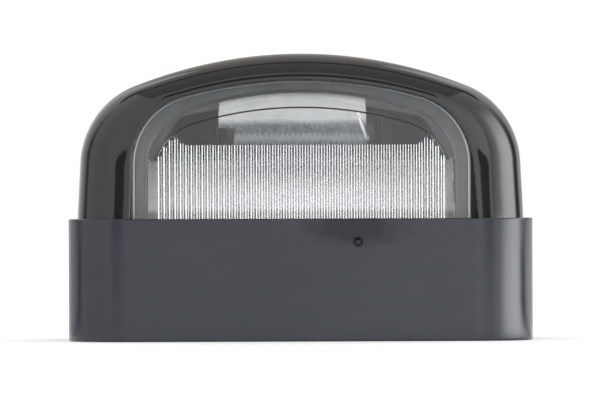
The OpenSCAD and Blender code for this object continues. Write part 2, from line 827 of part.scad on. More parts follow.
module contact_rivets() {
    color("#a8abad") for (side = [-1, 1])
        rivet(side * rivet_x, rivet_z, leg_y - carrier_t,
            leg_y + insulator_t + contact_t + terminal_t);
}

module carrier_screws() {
    color("#b4b7b9") for (side = [-1, 1])
        translate([side * carrier_screw_x, carrier_screw_y, deck_z + carrier_t])
            screw(carrier_screw_len);
}

module cover_screws() {
    color("#b4b7b9") for (side = [-1, 1])
        translate([side * cover_screw_x, hood_half_d + screw_seal_t, cover_screw_z])
            rotate([-90, 0, 0]) screw(cover_screw_len);
}

module cover_screw_seals() {
    color("#1b1b1b") for (side = [-1, 1]) difference() {
        rod_y(screw_head_d / 2, side * cover_screw_x, cover_screw_z,
            hood_half_d, hood_half_d + screw_seal_t);
        rod_y(screw_r + snug, side * cover_screw_x, cover_screw_z,
            hood_half_d - cut, hood_half_d + screw_seal_t + cut);
    }
}

// Rubber grommet: a groove round the deck's edge and a tapered tail below it
module cable_grommet() {
    bore = cable_d / 2;
    neck = grommet_r + grommet_lip;
    lip = -deck_t - grommet_flange;
    tail = -deck_t - grommet_tail;
    color("#1b1b1b") translate([0, grommet_y, deck_z]) rotate_extrude() polygon([
        [bore, grommet_flange], [grommet_wide, grommet_flange], [grommet_wide, 0],
        [grommet_r, 0], [grommet_r, -deck_t], [neck, -deck_t], [neck, lip],
        [bore + grommet_lip, tail], [bore, tail]]);
}

base();
hood();
lens();
lens_seal();
hood_gasket();
bulb_carrier();
bulb_shade();
shade_rivets();
bulb_glass();
bulb_cap_left();
bulb_cap_right();
bulb_filament();
contact_left();
contact_right();
insulator_left();
insulator_right();
terminal_live();
terminal_earth();
contact_rivets();
carrier_screws();
cover_screws();
cover_screw_seals();
cable_grommet();
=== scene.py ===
# %% [markdown]
# # A number plate lamp
#
# The lamp has a black moulded base, a glossy black hood and a clear fluted window.
# Behind the window a zinc-plated shade covers a small tube bulb, and a slanted white
# sheet throws its light down. The frame gives every part at its real size and place.
# This script dresses those parts: it rebuilds the ones whose edges and curves show,
# and gives every surface its own finish. All lengths are in metres.

# %% Load the frame
import math

import bmesh
import bpy
from mathutils import Matrix, Vector


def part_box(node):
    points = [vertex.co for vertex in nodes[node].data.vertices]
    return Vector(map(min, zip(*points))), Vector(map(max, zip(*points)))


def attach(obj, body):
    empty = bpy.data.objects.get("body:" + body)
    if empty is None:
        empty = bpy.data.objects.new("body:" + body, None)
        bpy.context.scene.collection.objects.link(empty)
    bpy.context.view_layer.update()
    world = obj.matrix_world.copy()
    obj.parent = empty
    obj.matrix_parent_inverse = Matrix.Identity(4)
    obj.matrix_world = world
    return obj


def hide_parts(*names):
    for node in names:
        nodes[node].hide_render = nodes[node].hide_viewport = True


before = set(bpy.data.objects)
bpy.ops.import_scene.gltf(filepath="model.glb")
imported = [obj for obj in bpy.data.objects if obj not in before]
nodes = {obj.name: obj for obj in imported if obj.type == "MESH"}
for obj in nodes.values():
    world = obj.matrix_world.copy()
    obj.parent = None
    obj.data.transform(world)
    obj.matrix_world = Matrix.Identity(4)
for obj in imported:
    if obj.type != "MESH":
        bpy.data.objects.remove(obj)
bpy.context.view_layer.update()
MM = 0.001
print("nodes in the frame:", len(nodes))

# %% [markdown]
# ## Measures taken from the frame
#
# Most sizes are read from the frame's own boxes, so that the dressed parts sit where
# the plain ones do: the rim, the deck and the hood's outline. The rest are the radii and
# walls of the mouldings, which no box can tell.

# %% The lamp's main measures
base_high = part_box("base")[1]
hood_low, hood_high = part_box("hood")
lens_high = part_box("lens")[1]
bulb_low, bulb_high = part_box("bulb_glass")
BULB_Y, BULB_Z = (bulb_low.y + bulb_high.y) / 2, (bulb_low.z + bulb_high.z) / 2
RIM_Z = base_high.z
DECK_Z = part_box("hood_gasket")[0].z
HOOD_W, HOOD_D = hood_high.x, hood_high.y
FRONT_Y = -HOOD_D
CROWN_SINK = 0.2 * MM
HOOD_RISE = hood_high.z - RIM_Z - CROWN_SINK
SKIRT = RIM_Z - hood_low.z
COLLAR_GAP = 0.15 * MM
COLLAR_T = base_high.y - HOOD_D - COLLAR_GAP
HOOD_CORNER, HOOD_WALL = 11.8 * MM, 2.2 * MM
WINDOW_W, WINDOW_RISE = HOOD_W - HOOD_CORNER, 29.7 * MM
print("rim at %.1f mm, hood %.1f mm above it" % (RIM_Z / MM, HOOD_RISE / MM))


# %% [markdown]
# ## Small helpers for meshes
#
# A moulded part is mostly a stack of outlines: each one is a ring of points, and
# neighbouring rings are joined by a strip of four-sided faces. Modelled by hand this
# would be a loft. Here a few helpers take the rings and return an object, so that each
# part below only has to say what its outlines are.

# %% Turn points and faces into a piece
SAME_POINT = 1e-7


def add_object(name, data):
    """A new object in the scene."""
    obj = bpy.data.objects.new(name, data)
    bpy.context.scene.collection.objects.link(obj)
    return obj


def shade(obj, sharp):
    """Smooth shading that keeps the edges above the sharp angle, in degrees."""
    faces = obj.data.polygons
    faces.foreach_set("use_smooth", [True] * len(faces))
    obj.data.set_sharp_from_angle(angle=math.radians(sharp))


def tidy_mesh(obj, sharp):
    """Joins doubled points, turns the faces outwards and sets the shading."""
    work = bmesh.new()
    work.from_mesh(obj.data)
    bmesh.ops.remove_doubles(work, verts=work.verts, dist=SAME_POINT)
    bmesh.ops.dissolve_degenerate(work, edges=work.edges, dist=SAME_POINT)
    bmesh.ops.recalc_face_normals(work, faces=work.faces)
    work.to_mesh(obj.data)
    work.free()
    shade(obj, sharp)


def piece(name, points, faces, sharp, material):
    """A mesh object from points and faces."""
    mesh = bpy.data.meshes.new(name)
    mesh.from_pydata(points, [], faces)
    obj = add_object(name, mesh)
    tidy_mesh(obj, sharp)
    mesh.materials.append(material)
    return obj


# %% [markdown]
# The faces of a strip follow from the order of the points alone, so the rings never have
# to know each other. Round forms take their rings at even steps of a quarter turn, which
# puts more of them where the surface bends most.

# %% Join rings of points into strips of faces
def loft(rings, closed=True, start=0):
    """Faces between neighbouring rings that all have the same number of points."""
    count = len(rings[0])
    faces = []
    for i in range(len(rings) - 1):
        a, b = start + i * count, start + (i + 1) * count
        for k in range(count if closed else count - 1):
            n = (k + 1) % count
            faces.append((a + k, a + n, b + n, b + k))
    return faces


def flat(rings):
    """All points of a list of rings as one list."""
    return [point for ring in rings for point in ring]


def quarter_turn(steps):
    """Angles from 0 to 90 degrees in even steps."""
    return [math.pi / 2 * k / steps for k in range(steps + 1)]


print("a quarter turn in 3 steps:", [round(math.degrees(a)) for a in quarter_turn(3)])

# %% [markdown]
# Bevels and booleans could stay on the objects as modifiers. They are applied at once
# here, so that each piece is a plain mesh that any other program can read. After a
# bevel the large faces set the normals, or a small radius would tilt them.

# %% Apply modifiers and round edges
FOLD_ANGLE = 35
LARGE_FACES_FIRST = 50


def apply_modifiers(obj):
    """Replaces the object's mesh by what its modifiers make of it."""
    graph = bpy.context.evaluated_depsgraph_get()
    mesh = bpy.data.meshes.new_from_object(obj.evaluated_get(graph))
    obj.modifiers.clear()
    obj.data = mesh


def even_shading(obj):
    """Lets the large faces set the normals."""
    weights = obj.modifiers.new("weights", "WEIGHTED_NORMAL")
    weights.keep_sharp = True
    weights.weight = LARGE_FACES_FIRST
    apply_modifiers(obj)


def soften(obj, width):
    """Rounds the edges of the folds to a small radius."""
    bevel = obj.modifiers.new("edge", "BEVEL")
    bevel.width = width
    bevel.segments = 2
    bevel.limit_method = "ANGLE"
    bevel.angle_limit = math.radians(FOLD_ANGLE)
    apply_modifiers(obj)
    shade(obj, FOLD_ANGLE)
    even_shading(obj)


# %% [markdown]
# ## Materials
#
# Every finish here is a Principled shader with a little life in it: a colour that
# drifts, a roughness that varies, and a fine bump. Object coordinates keep the grain at
# its true size, since the frame is in metres. A few helpers make the nodes that all
# finishes share, and each finish then has a short function of its own.

# %% Make and join nodes
def set_inputs(made, inputs):
    """Gives the inputs of a node fixed values, or links them to other nodes' outputs."""
    for name, value in inputs.items():
        socket = made.inputs[name]
        if isinstance(value, bpy.types.NodeSocket):
            made.id_data.links.new(value, socket)
        else:
            socket.default_value = (*value, 1) if socket.type == "RGBA" else value


def node(near, kind, output, inputs, **settings):
    """An output of a new node, in the tree of the node or socket near."""
    made = near.id_data.nodes.new("ShaderNode" + kind)
    for name, value in settings.items():
        setattr(made, name, value)
    set_inputs(made, inputs)
    return made.outputs[output]


def new_material(name, color, roughness, metallic=0.0):
    """A Principled material, its shader, and the place of a point on the object."""
    material = bpy.data.materials.new(name)
    material.use_nodes = True
    shader = material.node_tree.nodes["Principled BSDF"]
    set_inputs(shader, {"Base Color": color, "Roughness": roughness, "Metallic": metallic})
    return material, shader, node(shader, "TexCoord", "Object", {})


# %% [markdown]
# On these two lies a small vocabulary, in which each finish can be told in a few lines:
# a noise of a given grain, a range, a blend of two colours, a bump, the height on the
# lamp, and a soft spot.

# %% Noise, blends and bump
def noise(place, size, detail=3.0, stretch=(1, 1, 1)):
    """Noise whose grains are about size metres across, drawn out along an axis."""
    moved = node(place, "Mapping", "Vector", {"Vector": place, "Scale": stretch})
    return node(place, "TexNoise", "Fac",
                {"Vector": moved, "Scale": 1 / size, "Detail": detail})


def spread(value, low, high, start=0.3, end=0.7):
    """Maps a value's middle range to low..high."""
    return node(value, "MapRange", "Result", {
        "Value": value, "From Min": start, "From Max": end, "To Min": low, "To Max": high})


def blend_colors(factor, first, second):
    """A colour between first and second, where factor says how far."""
    return node(factor, "Mix", "Result", {"Factor": factor, "A": first, "B": second},
                data_type="RGBA")


def combine_values(operation, first, second):
    """The result of a sum, product or the like."""
    return node(first, "Math", "Value", {0: first, 1: second}, operation=operation)


def bump(shader, height, depth, strength):
    """Adds a bump of the given depth in metres to the shader."""
    normal = node(height, "Bump", "Normal",
                  {"Height": height, "Distance": depth, "Strength": strength})
    set_inputs(shader, {"Normal": normal})


def height_share(place, low, high):
    """Runs from 0 to 1 between two heights on the lamp."""
    return spread(node(place, "SeparateXYZ", "Z", {"Vector": place}), 0, 1, low, high)


def spot(place, center, reach, tilt=0.0):
    """Falls from 1 at the center to 0 at the reach along each axis, tilted round Y."""
    moved = node(place, "Mapping", "Vector", {
        "Vector": place, "Location": center, "Rotation": (0, tilt, 0), "Scale": reach},
        vector_type="TEXTURE")
    return node(place, "TexGradient", "Fac", {"Vector": moved}, gradient_type="SPHERICAL")


# %% [markdown]
# The base and the hood are both black plastic, but from different tools. The base's
# mould has a fine satin face, so its reflections are soft, and its pigment has a cold
# bluish cast. Under the rim, round the gate, the base is painted darker in a ragged
# patch: a painted reflection of the camera. It is a soft spot whose border a noise
# breaks up.

# %% Satin black
GATE_X, GATE_Z = 12 * MM, RIM_Z - 5 * MM
REFLECTION_Z = RIM_Z - 1.8 * MM
REFLECTION_REACH = (15 * MM, 8 * MM, 5.5 * MM)


# Painted reflection of the camera: a ragged darker patch under the rim, round the gate.
def painted_camera_reflection(place):
    dark_patch = spot(place, (GATE_X, -base_high.y, REFLECTION_Z), REFLECTION_REACH)
    ragged = spread(noise(place, 3.5 * MM), 0.6, 1.6)
    return spread(combine_values("MULTIPLY", dark_patch, ragged), 0, 1, 0.1, 0.7)


def satin_black():
    material, shader, place = new_material("satin_black_moulding", (0.028, 0.029, 0.038), 0.14)
    flow = noise(place, 14 * MM, detail=4.0, stretch=(1, 1, 2.5))
    color = blend_colors(spread(flow, 0, 1), (0.032, 0.034, 0.047), (0.037, 0.039, 0.054))
    # The painted reflection of the camera darkens the colour here.
    color = blend_colors(painted_camera_reflection(place), color, (0.003, 0.006, 0.014))
    set_inputs(shader, {"Base Color": color, "Roughness": spread(flow, 0.12, 0.17),
                        "IOR": 1.5})
    bump(shader, noise(place, 0.25 * MM, detail=2.0), depth=0.004 * MM, strength=0.4)
    return material


BASE_BLACK = satin_black()
print("finish:", BASE_BLACK.name)


# %% [markdown]
# The hood's mould is polished: it mirrors the room sharply, and only a faint waviness
# and a few fine rubs show that it is plastic and not glass. Its inner side comes from
# the mould's unpolished core, so it is dull, and shows through the window as plain dark.

# %% Polished and dull black
def polished_black():
    material, shader, place = new_material("polished_black_moulding",
                                           (0.021, 0.021, 0.022), 0.05)
    rubs = noise(place, 1.2 * MM, detail=5.0, stretch=(1, 6, 1))
    set_inputs(shader, {"Roughness": spread(rubs, 0.04, 0.085, 0.45, 0.8), "IOR": 1.57})
    bump(shader, noise(place, 18 * MM, detail=1.0), depth=0.06 * MM, strength=0.5)
    return material


def dull_black():
    material, shader, place = new_material("dull_black_core_side", (0.008, 0.008, 0.008), 0.6)
    grain = noise(place, 0.5 * MM, detail=4.0)
    set_inputs(shader, {"Roughness": spread(grain, 0.5, 0.7), "Specular IOR Level": 0.25})
    bump(shader, grain, depth=0.006 * MM, strength=0.4)
    return material


HOOD_BLACK, CORE_BLACK = polished_black(), dull_black()
print("finishes:", HOOD_BLACK.name, CORE_BLACK.name)


# %% [markdown]
# The window is clear acrylic. It is a real glass shader with the refraction of acrylic,
# because the flutes only look right when light really bends in them. The bulb's glass
# is made the same way, with the long faint waves of drawn tube.

# %% Clear acrylic and bulb glass
ACRYLIC_IOR, GLASS_IOR = 1.49, 1.5


def clear_acrylic():
    material, shader, place = new_material("clear_acrylic", (0.97, 0.985, 1.0), 0.015)
    streaks = noise(place, 3 * MM, detail=4.0, stretch=(1, 1, 0.3))
    set_inputs(shader, {"Roughness": spread(streaks, 0.0, 0.012),
                        "Transmission Weight": 1.0, "IOR": ACRYLIC_IOR})
    bump(shader, streaks, depth=0.004 * MM, strength=0.3)
    return material


def drawn_glass():
    material, shader, place = new_material("bulb_glass", (0.98, 0.99, 1.0), 0.0)
    waves = noise(place, 2 * MM, detail=2.0, stretch=(0.2, 1, 1))
    set_inputs(shader, {"Transmission Weight": 1.0, "IOR": GLASS_IOR})
    bump(shader, waves, depth=0.02 * MM, strength=0.4)
    return material


CLEAR, BULB_GLASS = clear_acrylic(), drawn_glass()
print("finishes:", CLEAR.name, BULB_GLASS.name)


# %% [markdown]
# The lens's edge wall and flange have matt faces. They scatter the light and hide what
# lies behind them, so the window gets a grey frame. The frame's tone falls off towards
# the crown: painted shade, for the less light that reaches its top. The frame's two
# borders, the rounded front edge and the wall's inner face, are painted lighter: a
# painted highlight along them.

# %% Matt acrylic
def matt_acrylic(name, low_tone, shaded_top_tone, clearness):
    material, shader, place = new_material(name, low_tone, 0.3)
    # Painted shade: the tone darkens with height towards the shaded top tone.
    height = height_share(place, RIM_Z + 16 * MM, RIM_Z + 28 * MM)
    tone = combine_values("MULTIPLY", height, spread(noise(place, 3 * MM), 0.8, 1.1))
    set_inputs(shader, {"Base Color": blend_colors(tone, low_tone, shaded_top_tone),
                        "Transmission Weight": clearness, "IOR": ACRYLIC_IOR})
    bump(shader, noise(place, 0.4 * MM, detail=4.0), depth=0.03 * MM, strength=0.5)
    return material


GROUND = matt_acrylic("ground_acrylic", (0.26, 0.267, 0.28), (0.12, 0.125, 0.137), 0.35)
# The lighter borders are a painted highlight, and their darker top is painted shade.
HIGHLIT_BORDER = matt_acrylic("highlit_border_acrylic", (0.62, 0.63, 0.64), (0.19, 0.195, 0.21), 0.2)
print("finishes:", GROUND.name, HIGHLIT_BORDER.name)


# %% [markdown]
# The shade is zinc plate. Its upright top is rubbed bright. Below it the plate still has
# its spangle: flat crystals half a millimetre across, each with its own tone. Voronoi
# cells are that pattern, and a fine noise breaks them up. The spangle band is painted
# dark: painted shade. Lower down a pale film lies over the crystals. Both borders are
# heights made ragged by a noise, and the slanted ridge near the right end gets a
# painted highlight.

# %% Zinc plate
RIDGE = (13.2 * MM, 0, BULB_Z + 0.2 * MM)
RIDGE_HIGHLIGHT_REACH = (0.4 * MM, 40 * MM, 4.4 * MM)
RIDGE_TILT = math.radians(-19)


def crystal_tone(place, mottle):
    cells = node(place, "TexVoronoi", "Color", {"Vector": place, "Scale": 1 / (0.4 * MM)})
    share = node(cells, "SeparateColor", "Red", {"Color": cells})
    return combine_values("MULTIPLY", share, combine_values("ADD", mottle, 0.4))


def ragged_step(place, low, high):
    """0 below one height and 1 above the other, with patches in between."""
    patches = combine_values("SUBTRACT", noise(place, 4 * MM), 0.5)
    ragged = combine_values("MULTIPLY", patches, 0.9)
    return spread(combine_values("ADD", height_share(place, low, high), ragged), 0, 1, 0, 1)


def zinc_plate():
    material, shader, place = new_material("zinc_plate", (0.7, 0.72, 0.72), 0.3, 1.0)
    mottle = noise(place, 0.35 * MM, detail=4.0)
    tone = crystal_tone(place, mottle)
    film = blend_colors(tone, (0.4, 0.43, 0.455), (0.52, 0.555, 0.58))
    # Painted shade: the spangle band's colours are dark.
    shaded_spangle = blend_colors(tone, (0.075, 0.086, 0.094), (0.2, 0.215, 0.225))
    color = blend_colors(ragged_step(place, 43.2 * MM, 44.6 * MM), film, shaded_spangle)
    bright = ragged_step(place, 46.0 * MM, 47.4 * MM)
    color = blend_colors(bright, color, (0.5, 0.505, 0.49))
    # Painted highlight along the slanted ridge.
    ridge_highlight = spread(spot(place, RIDGE, RIDGE_HIGHLIGHT_REACH, RIDGE_TILT), 0, 1, 0.15, 0.45)
    color = blend_colors(ridge_highlight, color, (0.9, 0.91, 0.92))
    set_inputs(shader, {"Base Color": color, "Roughness": spread(bright, 0.42, 0.2, 0, 1)})
    bump(shader, mottle, depth=0.02 * MM, strength=0.5)
    return material


ZINC = zinc_plate()
print("finish:", ZINC.name)


# %% [markdown]
# The carrier is the reflector, and white enamel does that better than zinc. Enamel has
# a soft cloudiness and the skin of an orange. Its foot, by the rim, is painted dark grey:
# a painted shadow of the rim.

# %% White enamel
def white_enamel():
    material, shader, place = new_material("white_enamel", (0.88, 0.88, 0.87), 0.3)
    cloud = spread(noise(place, 6 * MM), 0, 1)
    tint = blend_colors(cloud, (0.86, 0.86, 0.85), (0.9, 0.9, 0.89))
    # Painted shadow of the rim on the carrier's foot.
    above_rim_shadow = height_share(place, RIM_Z + 1.0 * MM, RIM_Z + 2.2 * MM)
    set_inputs(shader, {"Base Color": blend_colors(above_rim_shadow, (0.3, 0.3, 0.3), tint)})
    bump(shader, noise(place, 0.7 * MM, detail=2.0), depth=0.02 * MM, strength=0.4)
    return material


WHITE_ENAMEL = white_enamel()
print("finish:", WHITE_ENAMEL.name)


# %% [markdown]
# The small metals share one recipe: a colour, a roughness, and the fine lines that
# rolling or turning leaves in the surface.

# %% Plated steel, brass, bronze and the filament
def small_metal(name, color, roughness, line=0.3 * MM):
    material, shader, place = new_material(name, color, roughness, 1.0)
    lines = noise(place, line, detail=3.0, stretch=(0.15, 1, 1))
    dull = tuple(c * 0.8 for c in color)
    set_inputs(shader, {
        "Base Color": blend_colors(spread(noise(place, 4 * MM), 0, 1), dull, color),
        "Roughness": spread(lines, roughness * 0.75, roughness * 1.4)})
    bump(shader, lines, depth=0.01 * MM, strength=0.5)
    return material


PLATED_STEEL = small_metal("plated_steel", (0.6, 0.61, 0.62), 0.28)
# The caps and springs are painted dark, a painted shade, so that they read as the dark inside
# of the hood.
CAP_BRASS = small_metal("shade_darkened_brass", (0.13, 0.12, 0.105), 0.5)
BRONZE = small_metal("shade_darkened_bronze", (0.05, 0.044, 0.038), 0.5)
TINNED = small_metal("tinned_brass", (0.68, 0.67, 0.63), 0.35)
TUNGSTEN = small_metal("tungsten", (0.3, 0.3, 0.31), 0.4, 0.1 * MM)
print("five small metals")


# %% [markdown]
# Rubber is matt, with a bloom that comes and goes over a few millimetres. Hard paper is
# a brown laminate, whose fibres run upright. Its brown is painted nearly black: painted
# shade, like the dark inside of the hood.

# %% Rubber and hard paper
def black_rubber():
    material, shader, place = new_material("black_rubber", (0.016, 0.016, 0.017), 0.6)
    grain = noise(place, 0.3 * MM, detail=4.0)
    bloom = spread(noise(place, 5 * MM), 0, 1)
    set_inputs(shader, {
        "Base Color": blend_colors(bloom, (0.012, 0.012, 0.013), (0.024, 0.024, 0.026)),
        "Roughness": spread(grain, 0.5, 0.75)})
    bump(shader, grain, depth=0.02 * MM, strength=0.6)
    return material


# Painted shade: the laminate's colour is nearly black.
def hard_paper():
    material, shader, place = new_material("shade_darkened_laminate", (0.017, 0.012, 0.01), 0.55)
    fibre = noise(place, 0.6 * MM, detail=5.0, stretch=(1, 1, 0.2))
    tone = spread(fibre, 0, 1)
    set_inputs(shader, {
        "Base Color": blend_colors(tone, (0.012, 0.009, 0.008), (0.022, 0.016, 0.013))})
    bump(shader, fibre, depth=0.02 * MM, strength=0.5)
    return material


RUBBER, HARD_PAPER = black_rubber(), hard_paper()
print("finishes:", RUBBER.name, HARD_PAPER.name)


# %% [markdown]
# ## The hood
#
# The hood grows out of the window's outline. Seen from the front, that outline is an
# arch: straight sides, round shoulders and a flat crown. Going back from the window,
# the arch gets wider and taller along a quarter ellipse, runs straight, and falls again
# towards the back. A loft of arches makes exactly this surface, with the same formula
# as the plain part, but with nearly five times as many points, so that the polished
# surface mirrors the room without facets.

# %% The arch and its growth
STRAIGHT_END, SHOULDER_END = 0.3, 0.7


def mix(a, b, t):
    return a + (b - a) * t


def shoulder_center(half_w, rise, crown_r, shoulder_r):
    """Centre of the shoulder's arc, which touches both the side and the crown."""
    x = half_w - shoulder_r
    return x, rise - crown_r + math.sqrt((crown_r - shoulder_r) ** 2 - x * x)


def arch_point(half_w, rise, crown_r, shoulder_r, share):
    """Point of the arch's right half: share runs from 0 at the foot to 1 at the crown."""
    cx, cz = shoulder_center(half_w, rise, crown_r, shoulder_r)
    turn = math.atan2(cz - rise + crown_r, cx)
    if share < STRAIGHT_END:
        return half_w, -SKIRT + (cz + SKIRT) * share / STRAIGHT_END
    if share < SHOULDER_END:
        angle = turn * (share - STRAIGHT_END) / (SHOULDER_END - STRAIGHT_END)
        return cx + shoulder_r * math.cos(angle), cz + shoulder_r * math.sin(angle)
    angle = turn + (math.pi / 2 - turn) * (share - SHOULDER_END) / (1 - SHOULDER_END)
    return crown_r * math.cos(angle), rise - crown_r + crown_r * math.sin(angle)


def quarter(distance, reach):
    """How far a quarter ellipse has grown at a distance from its start."""
    return 1.0 if distance >= reach else math.sqrt(1 - (1 - max(distance, 0) / reach) ** 2)


# %% [markdown]
# The hood's skin is one function of two numbers: how far behind the window a point lies,
# and where it sits on its arch. The same function gives the inner side, by an inset, so
# that the wall has the same thickness all over. Its sides lean in a little with height,
# or the moulding wouldn't leave its mould.

# %% One point of the hood's skin
CROWN_R, SHOULDER_R = 102 * MM, 17.3 * MM
WINDOW_ARC_R, WINDOW_R = 94 * MM, 15 * MM
BACK_RISE, BACK_REACH = 22 * MM, 26 * MM
DRAFT = 1.1


def hood_point(distance, share, inset=0.0, land=0.0):
    """Point of the hood's skin, distance behind the window's face, for one share."""
    back = 2 * (HOOD_D - inset) - distance
    corner = HOOD_CORNER - inset
    front = quarter(distance, corner)
    side = min(front, quarter(back, corner))
    fall = quarter(back, BACK_REACH - inset)
    half_w = WINDOW_W + land + (corner - land) * side
    top = HOOD_RISE - inset
    rise = min(mix(WINDOW_RISE + land, top, front), mix(BACK_RISE, top, fall))
    crown_r = mix(WINDOW_ARC_R + land, CROWN_R - inset, front)
    shoulder_r = mix(WINDOW_R + land, SHOULDER_R - inset * fall, front)
    x, z = arch_point(half_w, rise, crown_r, shoulder_r, share)
    x *= 1 - DRAFT * front * max(z, 0)
    return x, FRONT_Y + inset + distance, RIM_Z + z


print("the hood's crown lies at %.1f mm" % (hood_point(HOOD_D, 1)[2] / MM))

# %% [markdown]
# Two details make the window's edge look moulded. Its sides flare out towards the rim,
# which shows as a dark wedge beside the lens at the right, while the lens nearly fills
# the opening at the left. And the edge has a small radius that catches the light as a
# thin line.

# %% Rings of the hood
FLARE, LEFT_FLARE = 1.5 * MM, 0.4 * MM
FLARE_RISE = 17 * MM
EDGE_R = 0.3 * MM
ARCH_STEPS = 46
SHARES = [k / ARCH_STEPS for k in range(ARCH_STEPS + 1)]


def mirrored(points):
    """The points of a right half, mirrored to the left and in reverse order."""
    return [(-x, y, z) for x, y, z in reversed(points)]


def whole(half):
    """Both halves of an arch as one ring, from the right foot to the left one."""
    return half + mirrored(half[:-1])


def two_halves(point_at, *where):
    """A ring whose left half flares less: point_at takes a share, a flare and where."""
    left = [point_at(share, LEFT_FLARE, *where) for share in SHARES[:-1]]
    return [point_at(share, FLARE, *where) for share in SHARES] + mirrored(left)


def flare_at(share, most):
    """How far the window's edge stands outside its plain outline."""
    height = hood_point(0, share)[2] - RIM_Z
    return max(0.0, most * (FLARE_RISE - height) / FLARE_RISE)


def corner_point(share, most, growth):
    """Point of the front corner; growth runs from 0 at the rounded edge to 1."""
    grown = mix((flare_at(share, most) + EDGE_R) / HOOD_CORNER, 1, growth)
    return hood_point(HOOD_CORNER * (1 - math.sqrt(max(0, 1 - grown ** 2))), share)


def edge_point(share, most, angle):
    """Point of the small radius between the window's wall and the outer skin."""
    outer = Vector(corner_point(share, most, 0))
    x, y, z = hood_point(0, share)
    wall = Vector((x + flare_at(share, most), FRONT_Y, z))
    point = wall.lerp(Vector((outer.x, FRONT_Y, outer.z)), 1 - math.cos(angle))
    point.y = outer.y + EDGE_R * (1 - math.sin(angle))
    return tuple(point)


def wall_point(share, most, depth):
    """Point of the window's wall."""
    x, y, z = hood_point(0, share, HOOD_WALL)
    return x + flare_at(share, most), FRONT_Y + depth, z


print("the window's edge flares by %.2f mm at its foot" % (flare_at(0, FLARE) / MM))

# %% [markdown]
# The hood is a shell, so its skin runs from the inner back forward, round the window's
# edge, and back again on the outside. The two ends are closed by the back walls, and the
# rings' feet make the lower edge, which is one flat U.

# %% Build the hood's skin
LAND, WALL_START = 2.2 * MM, 1.2 * MM
INNER_BACK_STEPS, INNER_FRONT_STEPS = 13, 10
EDGE_STEPS, FRONT_STEPS, BACK_STEPS = 4, 22, 30


def hood_rings():
    """The whole skin from the inner back round the window's edge to the outer back."""
    depth = 2 * HOOD_D
    inner_depth, inner_reach = depth - 2 * HOOD_WALL, BACK_REACH - HOOD_WALL
    inner = [inner_depth - inner_reach * (1 - math.cos(a))
             for a in quarter_turn(INNER_BACK_STEPS)]
    inner += [(HOOD_CORNER - HOOD_WALL) * (1 - math.cos(a))
              for a in reversed(quarter_turn(INNER_FRONT_STEPS))]
    rings = [whole([hood_point(d, s, HOOD_WALL, LAND) for s in SHARES]) for d in inner]
    rings += [two_halves(wall_point, d) for d in (HOOD_WALL, WALL_START)]
    rings += [two_halves(edge_point, a) for a in quarter_turn(EDGE_STEPS)]
    rings += [two_halves(corner_point, k / FRONT_STEPS) for k in range(1, FRONT_STEPS + 1)]
    for a in reversed(quarter_turn(BACK_STEPS)):
        d = depth - BACK_REACH * (1 - math.cos(a))
        rings.append(whole([hood_point(d, s) for s in SHARES]))
    return rings


def feet(rings):
    """The rings' right feet in order, and their left feet from the last to the first."""
    count = len(rings[0])
    starts = [i * count for i in range(len(rings))]
    return starts, [start + count - 1 for start in reversed(starts)]


def build_hood():
    rings = hood_rings()
    points, faces, count = flat(rings), loft(rings, closed=False), len(rings[0])
    faces.append(tuple(range(count)))
    faces.append(tuple(range(len(points) - count, len(points))))
    right, left = feet(rings)
    faces.append(tuple(right + left))
    return piece("hood_shell", points, faces, 40, HOOD_BLACK)


hood = build_hood()
print("hood:", len(hood.data.vertices), "points")


# %% [markdown]
# A dressed piece tells the frame two things: the body that it moves with, and the plain
# part that it stands for. The lamp has no joint, so every piece rides on the same body.

# %% The hood takes the plain hood's place
def stand_for(obj, node_name):
    """Lets the object take a node's place, on the lamp's one body."""
    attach(obj, "root")
    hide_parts(node_name)
    print(obj.name, "for", node_name + ":", len(obj.data.polygons), "faces")


def dull_inner_side(obj):
    """Gives the faces that look inwards, behind the window's wall, the dull finish."""
    obj.data.materials.append(CORE_BLACK)
    for face in obj.data.polygons:
        x, y, z = face.center
        inwards = face.normal.dot(Vector((x, y, z - RIM_Z))) < 0
        if inwards and y > FRONT_Y + HOOD_WALL:
            face.material_index = 1


dull_inner_side(hood)
stand_for(hood, "hood")

# %% [markdown]
# ## The lens
#
# The lens is one clear moulding: a flat front with a rounded edge, a thick edge wall that
# reaches back into the hood, a flange that keeps it there, and on the back of the front
# a raised pad with 53 upright flutes. It has to be one closed skin with nothing inside,
# because light is bent at every face. The outlines are lofted from the front face round
# to the pad's edge.

# %% The lens's measures
SLIDE = 0.15 * MM
LENS_W = WINDOW_W - SLIDE
LENS_OUTLINE = (LENS_W, WINDOW_RISE - SLIDE, WINDOW_ARC_R - SLIDE, WINDOW_R - SLIDE)
LENS_EDGE_R = 0.675 * MM
LENS_BACK_Y = lens_high.y
FLANGE_W = lens_high.x - LENS_W
FLANGE_Y = LENS_BACK_Y - 2 * MM
WALL_OUTLINE = (LENS_W - 3.15 * MM, WINDOW_RISE - SLIDE - 2.5 * MM, 76 * MM, 13 * MM)
WALL_DRAFT, WALL_FILLET = 0.6 * MM, 0.2 * MM
PLATE_Y = FRONT_Y + 2.4 * MM
PAD_Y = PLATE_Y + 0.5 * MM
PAD_OUTLINE = (WINDOW_W - 4.75 * MM, WINDOW_RISE - 6.15 * MM, 80 * MM, 12 * MM)
PAD_W = PAD_OUTLINE[0]
PAD_SLOPE = 0.35 * MM
FOOT_Z = RIM_Z - SKIRT
print("lens %.1f mm wide, pad %.1f mm wide" % (2 * LENS_W / MM, 2 * PAD_W / MM))


# %% [markdown]
# An arch of the lens is the hood's arch again, with other radii, so the lens fits the
# opening with an even gap. The skin goes from the front face over the rounded edge, out
# and round the flange, and in again along the drafted wall to the plate.

# %% The lens's outer skin
def arch_ring(outline, y, grow=0.0):
    """An arch of the lens as a ring; grow moves it outwards."""
    arch = [arch_point(*(v + grow for v in outline), share) for share in SHARES]
    return whole([(x, y, RIM_Z + z) for x, z in arch])


